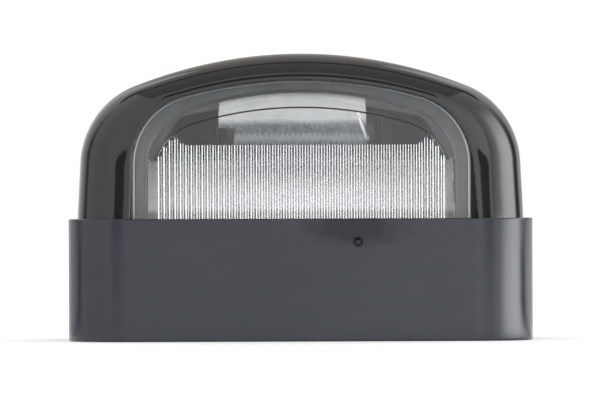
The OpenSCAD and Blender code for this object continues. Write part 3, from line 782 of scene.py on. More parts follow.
def rounded_rings(outline, y, radius):
    """Rings of a rounded edge, from the wall to the face at y."""
    return [arch_ring(outline, y + radius * (1 - math.sin(a)), -radius * (1 - math.cos(a)))
            for a in quarter_turn(EDGE_STEPS)]


def lens_rings():
    """From the front face round the flange to the foot of the edge wall."""
    rings = rounded_rings(LENS_OUTLINE, FRONT_Y, LENS_EDGE_R)[::-1]
    rings += [arch_ring(LENS_OUTLINE, FLANGE_Y), arch_ring(LENS_OUTLINE, FLANGE_Y, FLANGE_W),
              arch_ring(LENS_OUTLINE, LENS_BACK_Y, FLANGE_W)]
    rings.append(arch_ring(WALL_OUTLINE, LENS_BACK_Y, WALL_DRAFT))
    return rings + rounded_rings(WALL_OUTLINE, PLATE_Y, WALL_FILLET)


print("rings of the lens:", len(lens_rings()))

# %% [markdown]
# The pad's back is a row of narrow strips, one for each step across a flute. Each strip
# has its own height where the flutes give way to the smooth field. A displaced grid
# would be less work, but its faces wouldn't end on the field's border.

# %% The pad's heights
FLUTE_PITCH, FLUTE_DEPTH = 1.16 * MM, 0.38 * MM
FLUTES = int(2 * PAD_W / FLUTE_PITCH) - 1
FLUTE_STEPS = 12
FIELD_W, FIELD_LOW, FIELD_R = 27 * MM, 15.7 * MM, 3.4 * MM
FIELD_STEP, FIELD_LEAST = 0.04 * MM, 0.25 * MM


def arch_height(outline, x):
    """Height of an arch above the rim at a distance x from the middle."""
    half_w, rise, crown_r, shoulder_r = outline
    cx, cz = shoulder_center(*outline)
    x = min(abs(x), half_w)
    if x <= crown_r * cx / (crown_r - shoulder_r):
        return rise - crown_r + math.sqrt(crown_r ** 2 - x * x)
    return cz + math.sqrt(max(0, shoulder_r ** 2 - (x - cx) ** 2))


def field_low(x):
    """Lower edge of the smooth field at x, which is endlessly high beside the field."""
    if abs(x) > FIELD_W:
        return math.inf
    corner = max(0, abs(x) - (FIELD_W - FIELD_R))
    return FIELD_LOW + FIELD_R - math.sqrt(FIELD_R ** 2 - corner ** 2)


def flute_height(x):
    """Height of the flutes at x: an even wave, whose flanks are its brightest lines."""
    place = x / FLUTE_PITCH + FLUTES / 2
    return FLUTE_DEPTH * (1 - math.cos(2 * math.pi * place)) / 2


def pad_column(x):
    """Points of one step across the pad: foot, flutes' top, field, pad's top, plate."""
    inside = abs(x) < FLUTES * FLUTE_PITCH / 2 - SAME_POINT
    ridge_y = PAD_Y + (flute_height(x) if inside else 0.0)
    top = RIM_Z + arch_height(PAD_OUTLINE, x)
    low = min(RIM_Z + field_low(x), top - FIELD_LEAST)
    return [(x, ridge_y, FOOT_Z), (x, ridge_y, low), (x, PAD_Y, low + FIELD_STEP),
            (x, PAD_Y, top), (x, PLATE_Y, top + PAD_SLOPE)]


print("the smooth field begins %.1f mm above the rim" % (field_low(0) / MM))

# %% [markdown]
# Both halves of the lens, the outlines and the strips, are joined by large flat faces:
# the front, the plate round the pad, the pad's two ends and the underside. Each of these
# is one face with many corners, so no seam crosses the clear plastic.

# %% Build the lens
def pad_columns():
    """The pad's columns from left to right."""
    edge, step = FLUTES * FLUTE_PITCH / 2, FLUTE_PITCH / FLUTE_STEPS
    xs = [-edge + k * step for k in range(FLUTES * FLUTE_STEPS + 1)]
    return [pad_column(x) for x in [-PAD_W] + xs + [PAD_W]]


def build_lens():
    rings, columns = lens_rings(), pad_columns()
    points, faces, count = flat(rings), loft(rings, closed=False), len(rings[0])
    first, rows, last = len(points), len(columns[0]), len(columns) - 1
    points += flat(columns) + [(-PAD_W, PLATE_Y, FOOT_Z), (PAD_W, PLATE_Y, FOOT_Z)]
    left_foot, right_foot = len(points) - 2, len(points) - 1
    faces += loft(columns, closed=False, start=first)
    end = first + rows * last
    faces.append(tuple(range(count)))
    faces.append((*range(first, first + rows), left_foot))
    faces.append((*range(end, end + rows), right_foot))
    tops = [first + rows * i + rows - 1 for i in range(last + 1)]
    faces.append((*range(first - count, first), left_foot, *tops, right_foot))
    right, left = feet(rings)
    pad_feet = range(end, first - 1, -rows)
    faces.append((*right, right_foot, *pad_feet, left_foot, *left))
    return piece("fluted_lens", points, faces, 30, CLEAR)


lens = build_lens()
stand_for(lens, "lens")
print("flutes:", FLUTES)

# %% [markdown]
# The matt faces are chosen by where they lie and which way they look: the flange and the
# back are ground, and the rounded front edge and the inner side of the wall get the
# lighter finish, a painted highlight.
# The underside stands on the gasket, and stays clear.

# %% Matt faces of the lens
MATT, PAINTED_HIGHLIGHT = 1, 2
NEAR, BACK_MARGIN = 0.01 * MM, 0.1 * MM
WALL_TILT, RIM_TILT = 0.3, 0.5


def lens_finish(face):
    """The material's place for one face: 0 is the clear one."""
    x, y, z = face.center
    if z < FOOT_Z + NEAR:
        return 0
    faces_middle = face.normal.dot(Vector((x, 0, z - RIM_Z))) < 0
    tilt = abs(face.normal.y)
    inner_wall = faces_middle and tilt < WALL_TILT and y < LENS_BACK_Y - BACK_MARGIN
    # These faces get the painted highlight.
    if inner_wall or FRONT_Y + 4 * NEAR < y < FRONT_Y + LENS_EDGE_R:
        return PAINTED_HIGHLIGHT
    flange_rim = y > FLANGE_Y - NEAR and tilt < RIM_TILT
    return MATT if flange_rim or y > LENS_BACK_Y - NEAR else 0


lens.data.materials.append(GROUND)
lens.data.materials.append(HIGHLIT_BORDER)
for face in lens.data.polygons:
    face.material_index = lens_finish(face)
print("matt faces:", sum(face.material_index > 0 for face in lens.data.polygons))

# %% [markdown]
# ## The base
#
# The base is a rounded box without a bottom, with a deck inside it and a collar round
# the hood. Its wall is one outline carried round the corners: down the outside, round
# the lower edge, up the inside to the deck, and over the rim. The deck, the ribs and the
# bosses are plain solids, and a boolean union makes one moulding of them all. A second
# boolean cuts the holes.

# %% The base's outline in plan and its wall's profile
BASE_W, BASE_D = base_high.x, base_high.y
BASE_R = HOOD_CORNER + COLLAR_GAP + COLLAR_T
LEAST_R = 0.5 * MM
CORNER_STEPS = 20


def plan_ring(inset, z):
    """The base's outline, moved inwards by the inset, as a ring of points."""
    radius = max(BASE_R - inset, LEAST_R)
    ring = []
    for quadrant, (sx, sy) in enumerate(((1, -1), (1, 1), (-1, 1), (-1, -1))):
        cx, cy = sx * (BASE_W - inset - radius), sy * (BASE_D - inset - radius)
        for turn in quarter_turn(CORNER_STEPS):
            angle = math.radians(90 * quadrant - 90) + turn
            ring.append((cx + radius * math.cos(angle), cy + radius * math.sin(angle), z))
    return ring


def rounded(corner, before, after, radius, steps=4):
    """Points of a small radius in place of a corner of a profile."""
    corner, before, after = Vector(corner), Vector(before), Vector(after)
    a = corner + (before - corner).normalized() * radius
    b = corner + (after - corner).normalized() * radius
    shares = [k / steps for k in range(steps + 1)]
    return [tuple(a.lerp(corner, t).lerp(corner.lerp(b, t), t)) for t in shares]


def rounded_profile(corners):
    """A closed profile of (inset, height, radius) with its corners rounded."""
    profile = []
    for i, (u, v, radius) in enumerate(corners):
        before, after = corners[i - 1], corners[(i + 1) % len(corners)]
        profile += rounded((u, v), before[:2], after[:2], radius) if radius else [(u, v)]
    return profile


print("the base's corner radius is %.2f mm" % (BASE_R / MM))

# %% [markdown]
# Everything else on the base is a block or a turned form. They are kept as loose
# geometry until they are joined, because an object for each would only be in the way.

# %% Simple solids for the base and its cutters
def solid(points, faces):
    work = bmesh.new()
    made = [work.verts.new(p) for p in points]
    for face in faces:
        work.faces.new([made[i] for i in face])
    bmesh.ops.recalc_face_normals(work, faces=work.faces)
    return work


def block(low, high):
    """A box between two corners."""
    work = bmesh.new()
    bmesh.ops.create_cube(work, size=1)
    for vert in work.verts:
        vert.co = Vector(a + (b - a) * (c + 0.5) for a, b, c in zip(low, high, vert.co))
    return work


def turned(profile, center, axis="Z", steps=48):
    """A closed solid turned from (radius, height) points round an axis through center."""
    work = bmesh.new()
    rings = []
    for radius, height in profile:
        ring = []
        for k in range(steps if radius > 1e-9 else 1):
            angle = 2 * math.pi * k / steps
            u, v = radius * math.cos(angle), radius * math.sin(angle)
            place = {"Z": (u, v, height), "Y": (u, height, v), "X": (height, u, v)}[axis]
            ring.append(work.verts.new(Vector(center) + Vector(place)))
        rings.append(ring)
    for a, b in zip(rings, rings[1:]):
        for k in range(steps):
            n = (k + 1) % steps
            quad = [a[k % len(a)], a[n % len(a)], b[n % len(b)], b[k % len(b)]]
            unique = [v for i, v in enumerate(quad) if v not in quad[:i]]
            if len(unique) > 2:
                work.faces.new(unique)
    bmesh.ops.recalc_face_normals(work, faces=work.faces)
    return work


def rod(radius, center, height, axis="Z"):
    return turned([(0, 0), (radius, 0), (radius, height), (0, height)], center, axis)


def in_mm(pairs):
    """Profile points that are written in millimetres."""
    return [(a * MM, b * MM) for a, b in pairs]


# %% [markdown]
# The exact solver of the boolean modifier is slower than the fast one, but it copes with
# the flat faces that meet here. The second object is only a tool, and is deleted.

# %% Join solids and cut holes
def gather(name, works):
    """One object that holds several solids."""
    total = bmesh.new()
    for work in works:
        part = bpy.data.meshes.new("part")
        work.to_mesh(part)
        total.from_mesh(part)
        bpy.data.meshes.remove(part)
        work.free()
    mesh = bpy.data.meshes.new(name)
    total.to_mesh(mesh)
    total.free()
    return add_object(name, mesh)


def combine(obj, works, operation):
    """Unites the object with solids, or cuts them out of it."""
    other = gather("cutter", works)
    boolean = obj.modifiers.new(operation, "BOOLEAN")
    boolean.operation = operation
    boolean.solver = "EXACT"
    boolean.use_self = True
    boolean.object = other
    apply_modifiers(obj)
    bpy.data.objects.remove(other)


# %% The base's wall and deck
BASE_WALL, DECK_T = 2.4 * MM, 2.5 * MM
DECK_LOW = DECK_Z - DECK_T
DECK_MARGIN = 5 * MM


def base_wall():
    """Wall, collar and the deck's margin as one closed ring."""
    corners = [(0, 0, 0.5 * MM), (0, RIM_Z, 0.35 * MM), (COLLAR_T, RIM_Z, 0.3 * MM),
               (COLLAR_T, DECK_Z, 0), (DECK_MARGIN, DECK_Z, 0), (DECK_MARGIN, DECK_LOW, 0),
               (BASE_WALL, DECK_LOW, 0.8 * MM), (BASE_WALL, 0, 0.4 * MM)]
    rings = [plan_ring(inset, z) for inset, z in rounded_profile(corners)]
    points = flat(rings)
    faces = loft(rings + [rings[0]])
    return solid(points, [tuple(i % len(points) for i in face) for face in faces])


def deck_plate():
    rings = [plan_ring(DECK_MARGIN, DECK_LOW), plan_ring(DECK_MARGIN, DECK_Z)]
    count = len(rings[0])
    ends = [tuple(range(count)), tuple(range(count, 2 * count))]
    return solid(flat(rings), loft(rings) + ends)


print("deck from %.1f to %.1f mm" % (DECK_LOW / MM, DECK_Z / MM))

# %% [markdown]
# The deck has ribs that stiffen it, two bosses for the fixing screws, two bosses and
# two posts for the lamp's own screws, and two keepers behind the lens's flange. The
# screws' places are read from the frame, so that the holes meet them. Each solid runs a
# little way into its neighbour, because a union of faces that only touch can fail.

# %% Ribs, bosses, posts and keepers
cover_low, cover_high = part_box("cover_screws")
deck_screw_low, deck_screw_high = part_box("carrier_screws")
grommet_low, grommet_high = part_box("cable_grommet")
SCREW_HEAD_R = 2.8 * MM
COVER_X, COVER_Z = cover_high.x - SCREW_HEAD_R, (cover_low.z + cover_high.z) / 2
DECK_SCREW_X = deck_screw_high.x - SCREW_HEAD_R
DECK_SCREW_Y = (deck_screw_low.y + deck_screw_high.y) / 2
FIXING_X = BASE_W - 11 * MM
FIXING_BOSS = in_mm([(0, 0), (4.9, 0), (5.2, 0.3), (5.2, 16), (0, 16)])
SCREW_BOSS_R, SCREW_BOSS_H = 3.4 * MM, 7.5 * MM
RIB_T, RIB_H, RIB_YS = 1.6 * MM, 6 * MM, (-12 * MM, 5 * MM)
INNER_BACK_Y = HOOD_D - HOOD_WALL
POST_HALF, POST_Y = 3.5 * MM, (INNER_BACK_Y - 6.25 * MM, INNER_BACK_Y - 0.25 * MM)
KEEPER_X, KEEPER_HALF, KEEPER_H = WINDOW_W + 1 * MM, 1 * MM, 7 * MM
KEEPER_Y = (LENS_BACK_Y + 0.25 * MM, LENS_BACK_Y + 3.75 * MM)
OVER = 1 * MM
BOSS_SINK = 0.1 * MM


def upright(x, half, ys, low, high):
    """A block that stands at x, from low to high and between two ys."""
    return block((x - half, ys[0], low), (x + half, ys[1], high))


def base_additions():
    low, root = DECK_LOW - RIB_H, DECK_Z - OVER
    reach_x, reach_y = BASE_W - BASE_WALL + OVER / 2, BASE_D - BASE_WALL + OVER / 2
    works = [upright(0, reach_x, (y - RIB_T / 2, y + RIB_T / 2), low, root) for y in RIB_YS]
    for side in (-1, 1):
        x = side * DECK_SCREW_X
        works += [
            upright(x, RIB_T / 2, (-reach_y, reach_y), low, root),
            rod(SCREW_BOSS_R, (x, DECK_SCREW_Y, root - BOSS_SINK - SCREW_BOSS_H), SCREW_BOSS_H),
            turned(FIXING_BOSS, (side * FIXING_X, 0, 0)),
            upright(side * COVER_X, POST_HALF, POST_Y, root, COVER_Z + POST_HALF),
            upright(side * KEEPER_X, KEEPER_HALF, KEEPER_Y, root, DECK_Z + KEEPER_H)]
    return works


print("screws at %.1f and %.1f mm from the middle" % (COVER_X / MM, DECK_SCREW_X / MM))

# %% [markdown]
# Holes are cut last, through everything that was joined: for the grommet, the fixing
# screws and the lamp's own screws. The gate's dimple is a hole too. It is turned from a
# profile that leaves a small round pip in its middle.

# %% Holes of the base
GROMMET_Y = (grommet_low.y + grommet_high.y) / 2
GROMMET_HOLE_R, FIXING_HOLE_R, PILOT_R = 4.55 * MM, 2.75 * MM, 1.3 * MM
HEAD_HOLE_R, HEAD_HOLE_CHAMFER = 3.3 * MM, 0.4 * MM
PIP_R, PIP_H = 0.62 * MM, 0.45 * MM


def head_hole():
    """Hole in the collar for a screw's head, with a chamfered rim."""
    wide = HEAD_HOLE_R + HEAD_HOLE_CHAMFER
    return [(0, 0), (HEAD_HOLE_R, 0), (HEAD_HOLE_R, COLLAR_T - 0.1 * MM),
            (wide, COLLAR_T + 0.2 * MM), (wide, COLLAR_T + OVER), (0, COLLAR_T + OVER)]


def gate_dimple():
    """The gate's round dimple, with the broken-off sprue's pip standing in it."""
    wall = in_mm([(0, -1), (1.15, -1), (1.1, 0), (0.95, 0.4), (0.75, 0.5)])
    return wall + [(PIP_R * math.sin(a), PIP_H * (1 - math.cos(a)))
                   for a in reversed(quarter_turn(8))]


def base_cutters():
    works = [rod(GROMMET_HOLE_R, (0, GROMMET_Y, DECK_LOW - OVER), DECK_T + 2 * OVER),
             turned(gate_dimple(), (GATE_X, -BASE_D, GATE_Z), "Y", 32)]
    for side in (-1, 1):
        x = side * COVER_X
        works += [
            rod(FIXING_HOLE_R, (side * FIXING_X, 0, -OVER), DECK_Z + 2 * OVER),
            rod(PILOT_R, (side * DECK_SCREW_X, DECK_SCREW_Y, DECK_Z - 7 * MM), 8 * MM),
            rod(PILOT_R, (x, INNER_BACK_Y - 7 * MM, COVER_Z), 7.5 * MM, "Y"),
            turned(head_hole(), (x, HOOD_D, COVER_Z), "Y")]
    return works


base = gather("base_moulding", [base_wall()])
combine(base, [deck_plate()] + base_additions(), "UNION")
combine(base, base_cutters(), "DIFFERENCE")
tidy_mesh(base, 30)
even_shading(base)
base.data.materials.clear()
base.data.materials.append(BASE_BLACK)
stand_for(base, "base")

# %% [markdown]
# ## Sheet metal, springs and small mouldings
#
# The plain parts have the right folds, but every edge is a knife edge, and real sheet
# has a burr rolled over by the press. A copy of the plain part is a good start: its flat
# faces are merged again, and a small bevel rounds what is left.

# %% Dress a copy of a plain part
def dressed(name, node_name, material, edge, shape=None):
    """A copy of a node with its flat faces merged and its edges rounded."""
    obj = add_object(name, nodes[node_name].data.copy())
    if shape:
        for vert in obj.data.vertices:
            vert.co = shape(vert.co)
    work = bmesh.new()
    work.from_mesh(obj.data)
    bmesh.ops.remove_doubles(work, verts=work.verts, dist=10 * SAME_POINT)
    bmesh.ops.dissolve_limit(work, angle_limit=math.radians(1),
                             verts=work.verts, edges=work.edges)
    work.to_mesh(obj.data)
    work.free()
    soften(obj, edge)
    obj.data.materials.clear()
    obj.data.materials.append(material)
    stand_for(obj, node_name)


# %% [markdown]
# Two pressings get a finer shape than the plain part has. The shade's front fold is
# nearly sharp, which is a question of pushing the fold's points out to a squarer curve.
# The reflector's upper edge stands a little higher, right under the shade's shadow.

# %% The shade and the carrier
FOLD_Y, FOLD_Z = BULB_Y - 9 * MM, BULB_Z + 6.6 * MM
SQUARENESS = 7.0
REFLECTOR_LOW, REFLECTOR_STRETCH = 9 * MM, 1.4


def squared_fold(point):
    """Pushes a point of the shade's front fold out to a nearly square corner."""
    y, z = FOLD_Y - point.y, point.z - FOLD_Z
    if y <= 0 or z <= 0:
        return point
    length = math.hypot(y, z)
    power = (y / length) ** SQUARENESS + (z / length) ** SQUARENESS
    reach = power ** (-1 / SQUARENESS)
    return Vector((point.x, FOLD_Y - y * reach, FOLD_Z + z * reach))


def raised_edge(point):
    """Lifts what lies high on the reflector, and more the higher it lies."""
    over = max(0, point.z - RIM_Z - REFLECTOR_LOW)
    return point + Vector((0, 0, over * (REFLECTOR_STRETCH - 1)))


dressed("carrier_pressing", "bulb_carrier", WHITE_ENAMEL, 0.12 * MM,
        raised_edge)
dressed("shade_pressing", "bulb_shade", ZINC, 0.1 * MM, squared_fold)
for side in ("left", "right"):
    dressed("spring_" + side, "contact_" + side, BRONZE, 0.08 * MM)
    dressed("hard_paper_" + side, "insulator_" + side, HARD_PAPER, 0.1 * MM)
for wire_name in ("live", "earth"):
    dressed("blade_" + wire_name, "terminal_" + wire_name, TINNED, 0.12 * MM)

# %% [markdown]
# Rubber mouldings are dressed the same way, with a wider radius: a rubber mould can't
# hold a sharp edge. The brass caps are rolled cups, so they get a round edge too.

# %% Rubber and brass
for name, node_name, edge in (("lens_seal_cord", "lens_seal", 0.15 * MM),
                              ("gasket_cord", "hood_gasket", 0.1 * MM),
                              ("screw_seal_rings", "cover_screw_seals", 0.15 * MM),
                              ("grommet", "cable_grommet", 0.3 * MM)):
    dressed(name, node_name, RUBBER, edge)
for side in ("left", "right"):
    dressed("cap_" + side, "bulb_cap_" + side, CAP_BRASS, 0.15 * MM)

# %% [markdown]
# Screws and rivets are turned parts, so a profile is turned round an axis. The screws
# have a coarse thread, simplified to plain rings, a low dome and a cross recess, which a
# boolean cuts.

# %% A dome's profile and a finished small part
RIM_SHARE, DOME_STEPS = 0.35, 8


def dome(radius, low, high):
    """Profile of a low dome from its rim, at low, to its top on the axis, at high."""
    rim = mix(low, high, RIM_SHARE)
    curve = [(radius * math.cos(a), mix(rim, high, math.sin(a)))
             for a in quarter_turn(DOME_STEPS)[:-1]]
    return [(radius - 0.1 * MM, low), (radius, mix(low, rim, 0.4))] + curve + [(0, high)]


def small_part(name, node_name, works, material):
    """Joins solids into one piece that stands for a node."""
    obj = gather(name, works)
    tidy_mesh(obj, FOLD_ANGLE)
    obj.data.materials.append(material)
    stand_for(obj, node_name)
    return obj


# %% Screws
HEAD_H = 1.5 * MM
SHANK_R, THREAD_DEPTH, PITCH = 1.25 * MM, 0.22 * MM, 0.8 * MM
THREAD_END = -1.2 * MM
RECESS_W, RECESS_LEN, RECESS_D = 0.65 * MM, 3.2 * MM, 0.9 * MM


def screw_profile(length):
    """Point, thread, plain neck and head, with the head's underside at height 0."""
    profile = [(0, -length), (0.5 * MM, -length)]
    turn = -length + PITCH
    while turn < THREAD_END:
        profile += [(SHANK_R - THREAD_DEPTH, turn), (SHANK_R, turn + 0.3 * PITCH)]
        turn += PITCH
    profile += [(SHANK_R - THREAD_DEPTH, turn), (SHANK_R - 0.1 * MM, 0)]
    return profile + dome(SCREW_HEAD_R, 0, HEAD_H)


def cross_recess(center, axis):
    """Two crossed slots in the top of a head whose underside is at center."""
    low, high = HEAD_H - RECESS_D, HEAD_H + OVER
    works = []
    for u, v in ((RECESS_LEN / 2, RECESS_W / 2), (RECESS_W / 2, RECESS_LEN / 2)):
        corners = {"Z": ((-u, -v, low), (u, v, high)), "Y": ((-u, low, -v), (u, high, v))}
        works.append(block(*(Vector(center) + Vector(corner) for corner in corners[axis])))
    return works


def build_screws(name, node_name, x, y, z, length, axis):
    """A pair of screws, one on each side, as one piece."""
    centers = [(side * x, y, z) for side in (-1, 1)]
    works = [turned(screw_profile(length), center, axis) for center in centers]
    obj = small_part(name, node_name, works, PLATED_STEEL)
    combine(obj, flat(cross_recess(center, axis) for center in centers), "DIFFERENCE")
    tidy_mesh(obj, FOLD_ANGLE)


under_head = cover_high.y - HEAD_H
build_screws("hood_screws", "cover_screws", COVER_X, under_head, COVER_Z,
             under_head - cover_low.y, "Y")
under_head = deck_screw_high.z - HEAD_H
build_screws("deck_screws", "carrier_screws", DECK_SCREW_X, DECK_SCREW_Y, under_head,
             under_head - deck_screw_low.z, "Z")


# %% [markdown]
# A rivet has the same dome at both ends of its shank, one as it was made and one that
# the press has formed, so its profile is the dome's, twice.

# %% Rivets
RIVET_HEAD_R, RIVET_R, RIVET_HEAD_H = 2.3 * MM, 1.4 * MM, 0.8 * MM


def build_rivets(name, node_name):
    low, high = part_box(node_name)
    x, z = high.x - RIVET_HEAD_R, (low.z + high.z) / 2
    length = high.y - low.y - 2 * RIVET_HEAD_H
    head = dome(RIVET_HEAD_R, 0, RIVET_HEAD_H)
    profile = [(r, -h) for r, h in reversed(head)] + [(RIVET_R, 0), (RIVET_R, length)]
    profile += [(r, length + h) for r, h in head]
    works = [turned(profile, (side * x, low.y + RIVET_HEAD_H, z), "Y") for side in (-1, 1)]
    small_part(name, node_name, works, PLATED_STEEL)


build_rivets("strap_rivets", "shade_rivets")
build_rivets("blade_rivets", "contact_rivets")

# %% [markdown]
# The bulb's glass is drawn down to a neck at both ends, which the caps cover. The glass
# is a turned skin with a real wall, so that light bends as in a tube.

# %% The bulb's glass
NECK_R, GLASS_WALL = 3.35 * MM, 0.7 * MM
NECK_X, SHOULDER_X = 12.4 * MM, 9.4 * MM
SHOULDER_STEPS = 8


def glass_profile():
    """Outer and inner line of the glass, as one closed loop of (radius, place)."""
    radius = (bulb_high.z - bulb_low.z) / 2
    outer = [(NECK_R, bulb_high.x), (NECK_R, NECK_X + 0.4 * MM)]
    for k in range(SHOULDER_STEPS + 1):
        share = k / SHOULDER_STEPS
        swell = (1 - math.cos(math.pi * share)) / 2
        outer.append((mix(NECK_R, radius, swell), mix(NECK_X, SHOULDER_X, share)))
    outer = outer + [(r, -x) for r, x in reversed(outer)]
    inner = [(r - GLASS_WALL, x) for r, x in reversed(outer)]
    return outer + inner + [outer[0]]


glass = turned(glass_profile(), (0, BULB_Y, BULB_Z), "X")
small_part("glass_tube", "bulb_glass", [glass], BULB_GLASS)


# %% [markdown]
# The filament is a coil of fine wire with two straight leads. A curve with a round bevel
# would do it, and so does a tube of faces along a path, which stays a plain mesh.

# %% The filament
def wire(path, radius, sides=8):
    """A tube of the given radius along a path of points."""
    rings = []
    for i, point in enumerate(path):
        along = (path[min(i + 1, len(path) - 1)] - path[max(i - 1, 0)]).normalized()
        across = along.cross(Vector((0, 1, 0.01))).normalized()
        other = along.cross(across)
        angles = [2 * math.pi * k / sides for k in range(sides)]
        rings.append([point + (across * math.cos(a) + other * math.sin(a)) * radius
                      for a in angles])
    points = flat(rings)
    ends = [tuple(range(sides)), tuple(range(len(points) - sides, len(points)))]
    return solid(points, loft(rings) + ends)


filament_low, filament_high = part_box("bulb_filament")
WIRE_R = 0.12 * MM
COIL_R = (filament_high.z - filament_low.z) / 2 - WIRE_R
COIL_HALF, COIL_TURNS, TURN_STEPS = 4.5 * MM, 16, 12
COIL_STEPS = COIL_TURNS * TURN_STEPS
offsets = [(filament_low.x, 0, 0), (-COIL_HALF - 1 * MM, 0, 0)]
for k in range(COIL_STEPS + 1):
    turn = 2 * math.pi * k / TURN_STEPS
    offsets.append((mix(-COIL_HALF, COIL_HALF, k / COIL_STEPS),
                    COIL_R * math.cos(turn), COIL_R * math.sin(turn)))
offsets += [(COIL_HALF + 1 * MM, 0, 0), (filament_high.x, 0, 0)]
path = [Vector((0, BULB_Y, BULB_Z)) + Vector(offset) for offset in offsets]
small_part("filament_coil", "bulb_filament", [wire(path, WIRE_R)], TUNGSTEN)

# %% [markdown]
# ## Studio
#
# The lamp stands in a white room. A pale floor carries it, and the world is white, so
# that the black plastic mirrors white nearly everywhere. Seen by the camera, in a mirror
# or through glass, the floor glows a little, which keeps it pale without more light.

# %% Floor and world
FLOOR_HALF, FLOOR_GLOW = 6, 0.3


def pale_floor():
    mesh = bpy.data.meshes.new("floor")
    work = bmesh.new()
    bmesh.ops.create_grid(work, x_segments=1, y_segments=1, size=FLOOR_HALF)
    work.to_mesh(mesh)
    work.free()
    material, shader, _ = new_material("pale_floor", (0.8, 0.8, 0.8), 0.9)
    rays = shader.id_data.nodes.new("ShaderNodeLightPath").outputs
    seen = combine_values("MAXIMUM", rays["Is Camera Ray"], rays["Is Glossy Ray"])
    seen = combine_values("MAXIMUM", seen, rays["Is Transmission Ray"])
    glow_strength = combine_values("MULTIPLY", seen, FLOOR_GLOW)
    set_inputs(shader, {"Emission Color": (1, 1, 1), "Emission Strength": glow_strength})
    mesh.materials.append(material)
    return add_object("floor", mesh)


pale_floor()
world = bpy.data.worlds.new("white_room")
bpy.context.scene.world = world
world.use_nodes = True
set_inputs(world.node_tree.nodes["Background"], {"Color": (1, 1, 1), "Strength": 1.0})
bpy.context.scene.view_settings.view_transform = "Standard"
print("floor %d m wide" % (2 * FLOOR_HALF))


# %% [markdown]
# What gives the hood its form is what isn't white: narrow dark bands on the screens show
# as thin dark lines, and a brighter screen at the right shows as a broad highlight. Lamps
# would light the lamp's body as well. A screen is a mesh that only some rays see, and
# each of its points has its own tone.

# %% Glowing screens
def glow(name, color):
    """A light whose strength is the screen's own tone at each point."""
    material = bpy.data.materials.new(name)
    material.use_nodes = True
    tree = material.node_tree
    tree.nodes.remove(tree.nodes["Principled BSDF"])
    out = tree.nodes["Material Output"]
    tone = node(out, "Attribute", "Fac", {}, attribute_name="tone")
    light = node(out, "Emission", "Emission", {"Color": color, "Strength": tone})
    set_inputs(out, {"Surface": light})
    return material


def screen(name, points, faces, tones, color=(1, 1, 1), lights=False):
    """A screen that only reflections see, or one that only lights the lamp's inside."""
    mesh = bpy.data.meshes.new(name)
    mesh.from_pydata(points, [], faces)
    mesh.materials.append(glow(name, color))
    mesh.attributes.new("tone", "FLOAT", "POINT").data.foreach_set("value", tones)
    obj = add_object(name, mesh)
    obj.visible_camera = obj.visible_shadow = obj.visible_diffuse = False
    obj.visible_glossy = not lights
    obj.visible_transmission = lights
    print(name, len(faces), "faces")


def curve_at(points, x):
    """Value at x of a line through (x, value) points."""
    if x <= points[0][0]:
        return points[0][1]
    for (x0, y0), (x1, y1) in zip(points, points[1:]):
        if x <= x1:
            return mix(y0, y1, (x - x0) / (x1 - x0))
    return points[-1][1]


# %% [markdown]
# The upright walls mirror what stands round the lamp at floor level. A surround is a
# slice of that: a tall screen between two azimuths, with a strip on the floor in front of
# it, because the lowest part of the base mirrors the floor. Its tone follows a curve by
# azimuth, counted from the front, and fades into the white room by elevation. The strip
# and the foot have a curve of their own, whose tones lie a little nearer to the front. A
# third surround, farther off, makes the front a little brighter at the right.

# %% Tones of the surrounds, as pairs of an azimuth in degrees and a tone
RIGHT_TONES = [
    (54, 1.0), (60, 1.4), (68, 2.0), (74, 3.5), (80, 4.8), (94, 5.0), (104, 4.2),
    (110.5, 3.2), (113.5, 1.1), (117.5, 0.15), (124, 0.06), (129, 0.2), (134, 0.75),
    (139, 0.95), (146, 0.75), (160, 0.6), (168, 0.8)]
RIGHT_FOOT = [
    (50, 1.5), (53, 1.8), (57, 2.4), (63, 4.4), (69, 6.3), (84, 6.6), (93, 5.4), (98, 4.0),
    (101.5, 1.1), (104.5, 0.15), (111, 0.06), (113.5, 0.4), (117, 1.2), (123, 1.5),
    (133, 1.2), (147, 0.9), (154, 1.1)]
LEFT_TONES = [
    (54, 1.0), (64, 0.9), (100, 0.8), (109, 0.7), (112, 0.25), (118, 0.1), (121, 0.25),
    (126, 0.7), (168, 0.8)]
LEFT_FOOT = [
    (44, 1.0), (59, 0.9), (92, 0.8), (100, 0.7), (103, 0.25), (108, 0.1), (111, 0.25),
    (116, 0.7), (154, 0.8)]
FRONT_TONES = [
    (0, 1.0), (1, 1.08), (2, 1.3), (3, 1.4), (12, 1.42), (24, 1.6), (38, 1.75), (50, 1.75)]
FADE = [(0, 1.0), (18, 1.0), (32, 0.5), (42, 0.0)]
ELEVATIONS = [0, 2.2, 3.4, 10, 18, 25, 32, 37, 42]
FOOT_ELEVATION = 3
STRIP_START = 0.09
ABOVE_FLOOR = Vector((0, 0, 0.1 * MM))
print("right tones up to", max(tone for azimuth, tone in RIGHT_FOOT))


# %% [markdown]
# A surround is lofted from upright columns, one for each degree. Each point gets its
# tone as it is made, in the same order as the points.

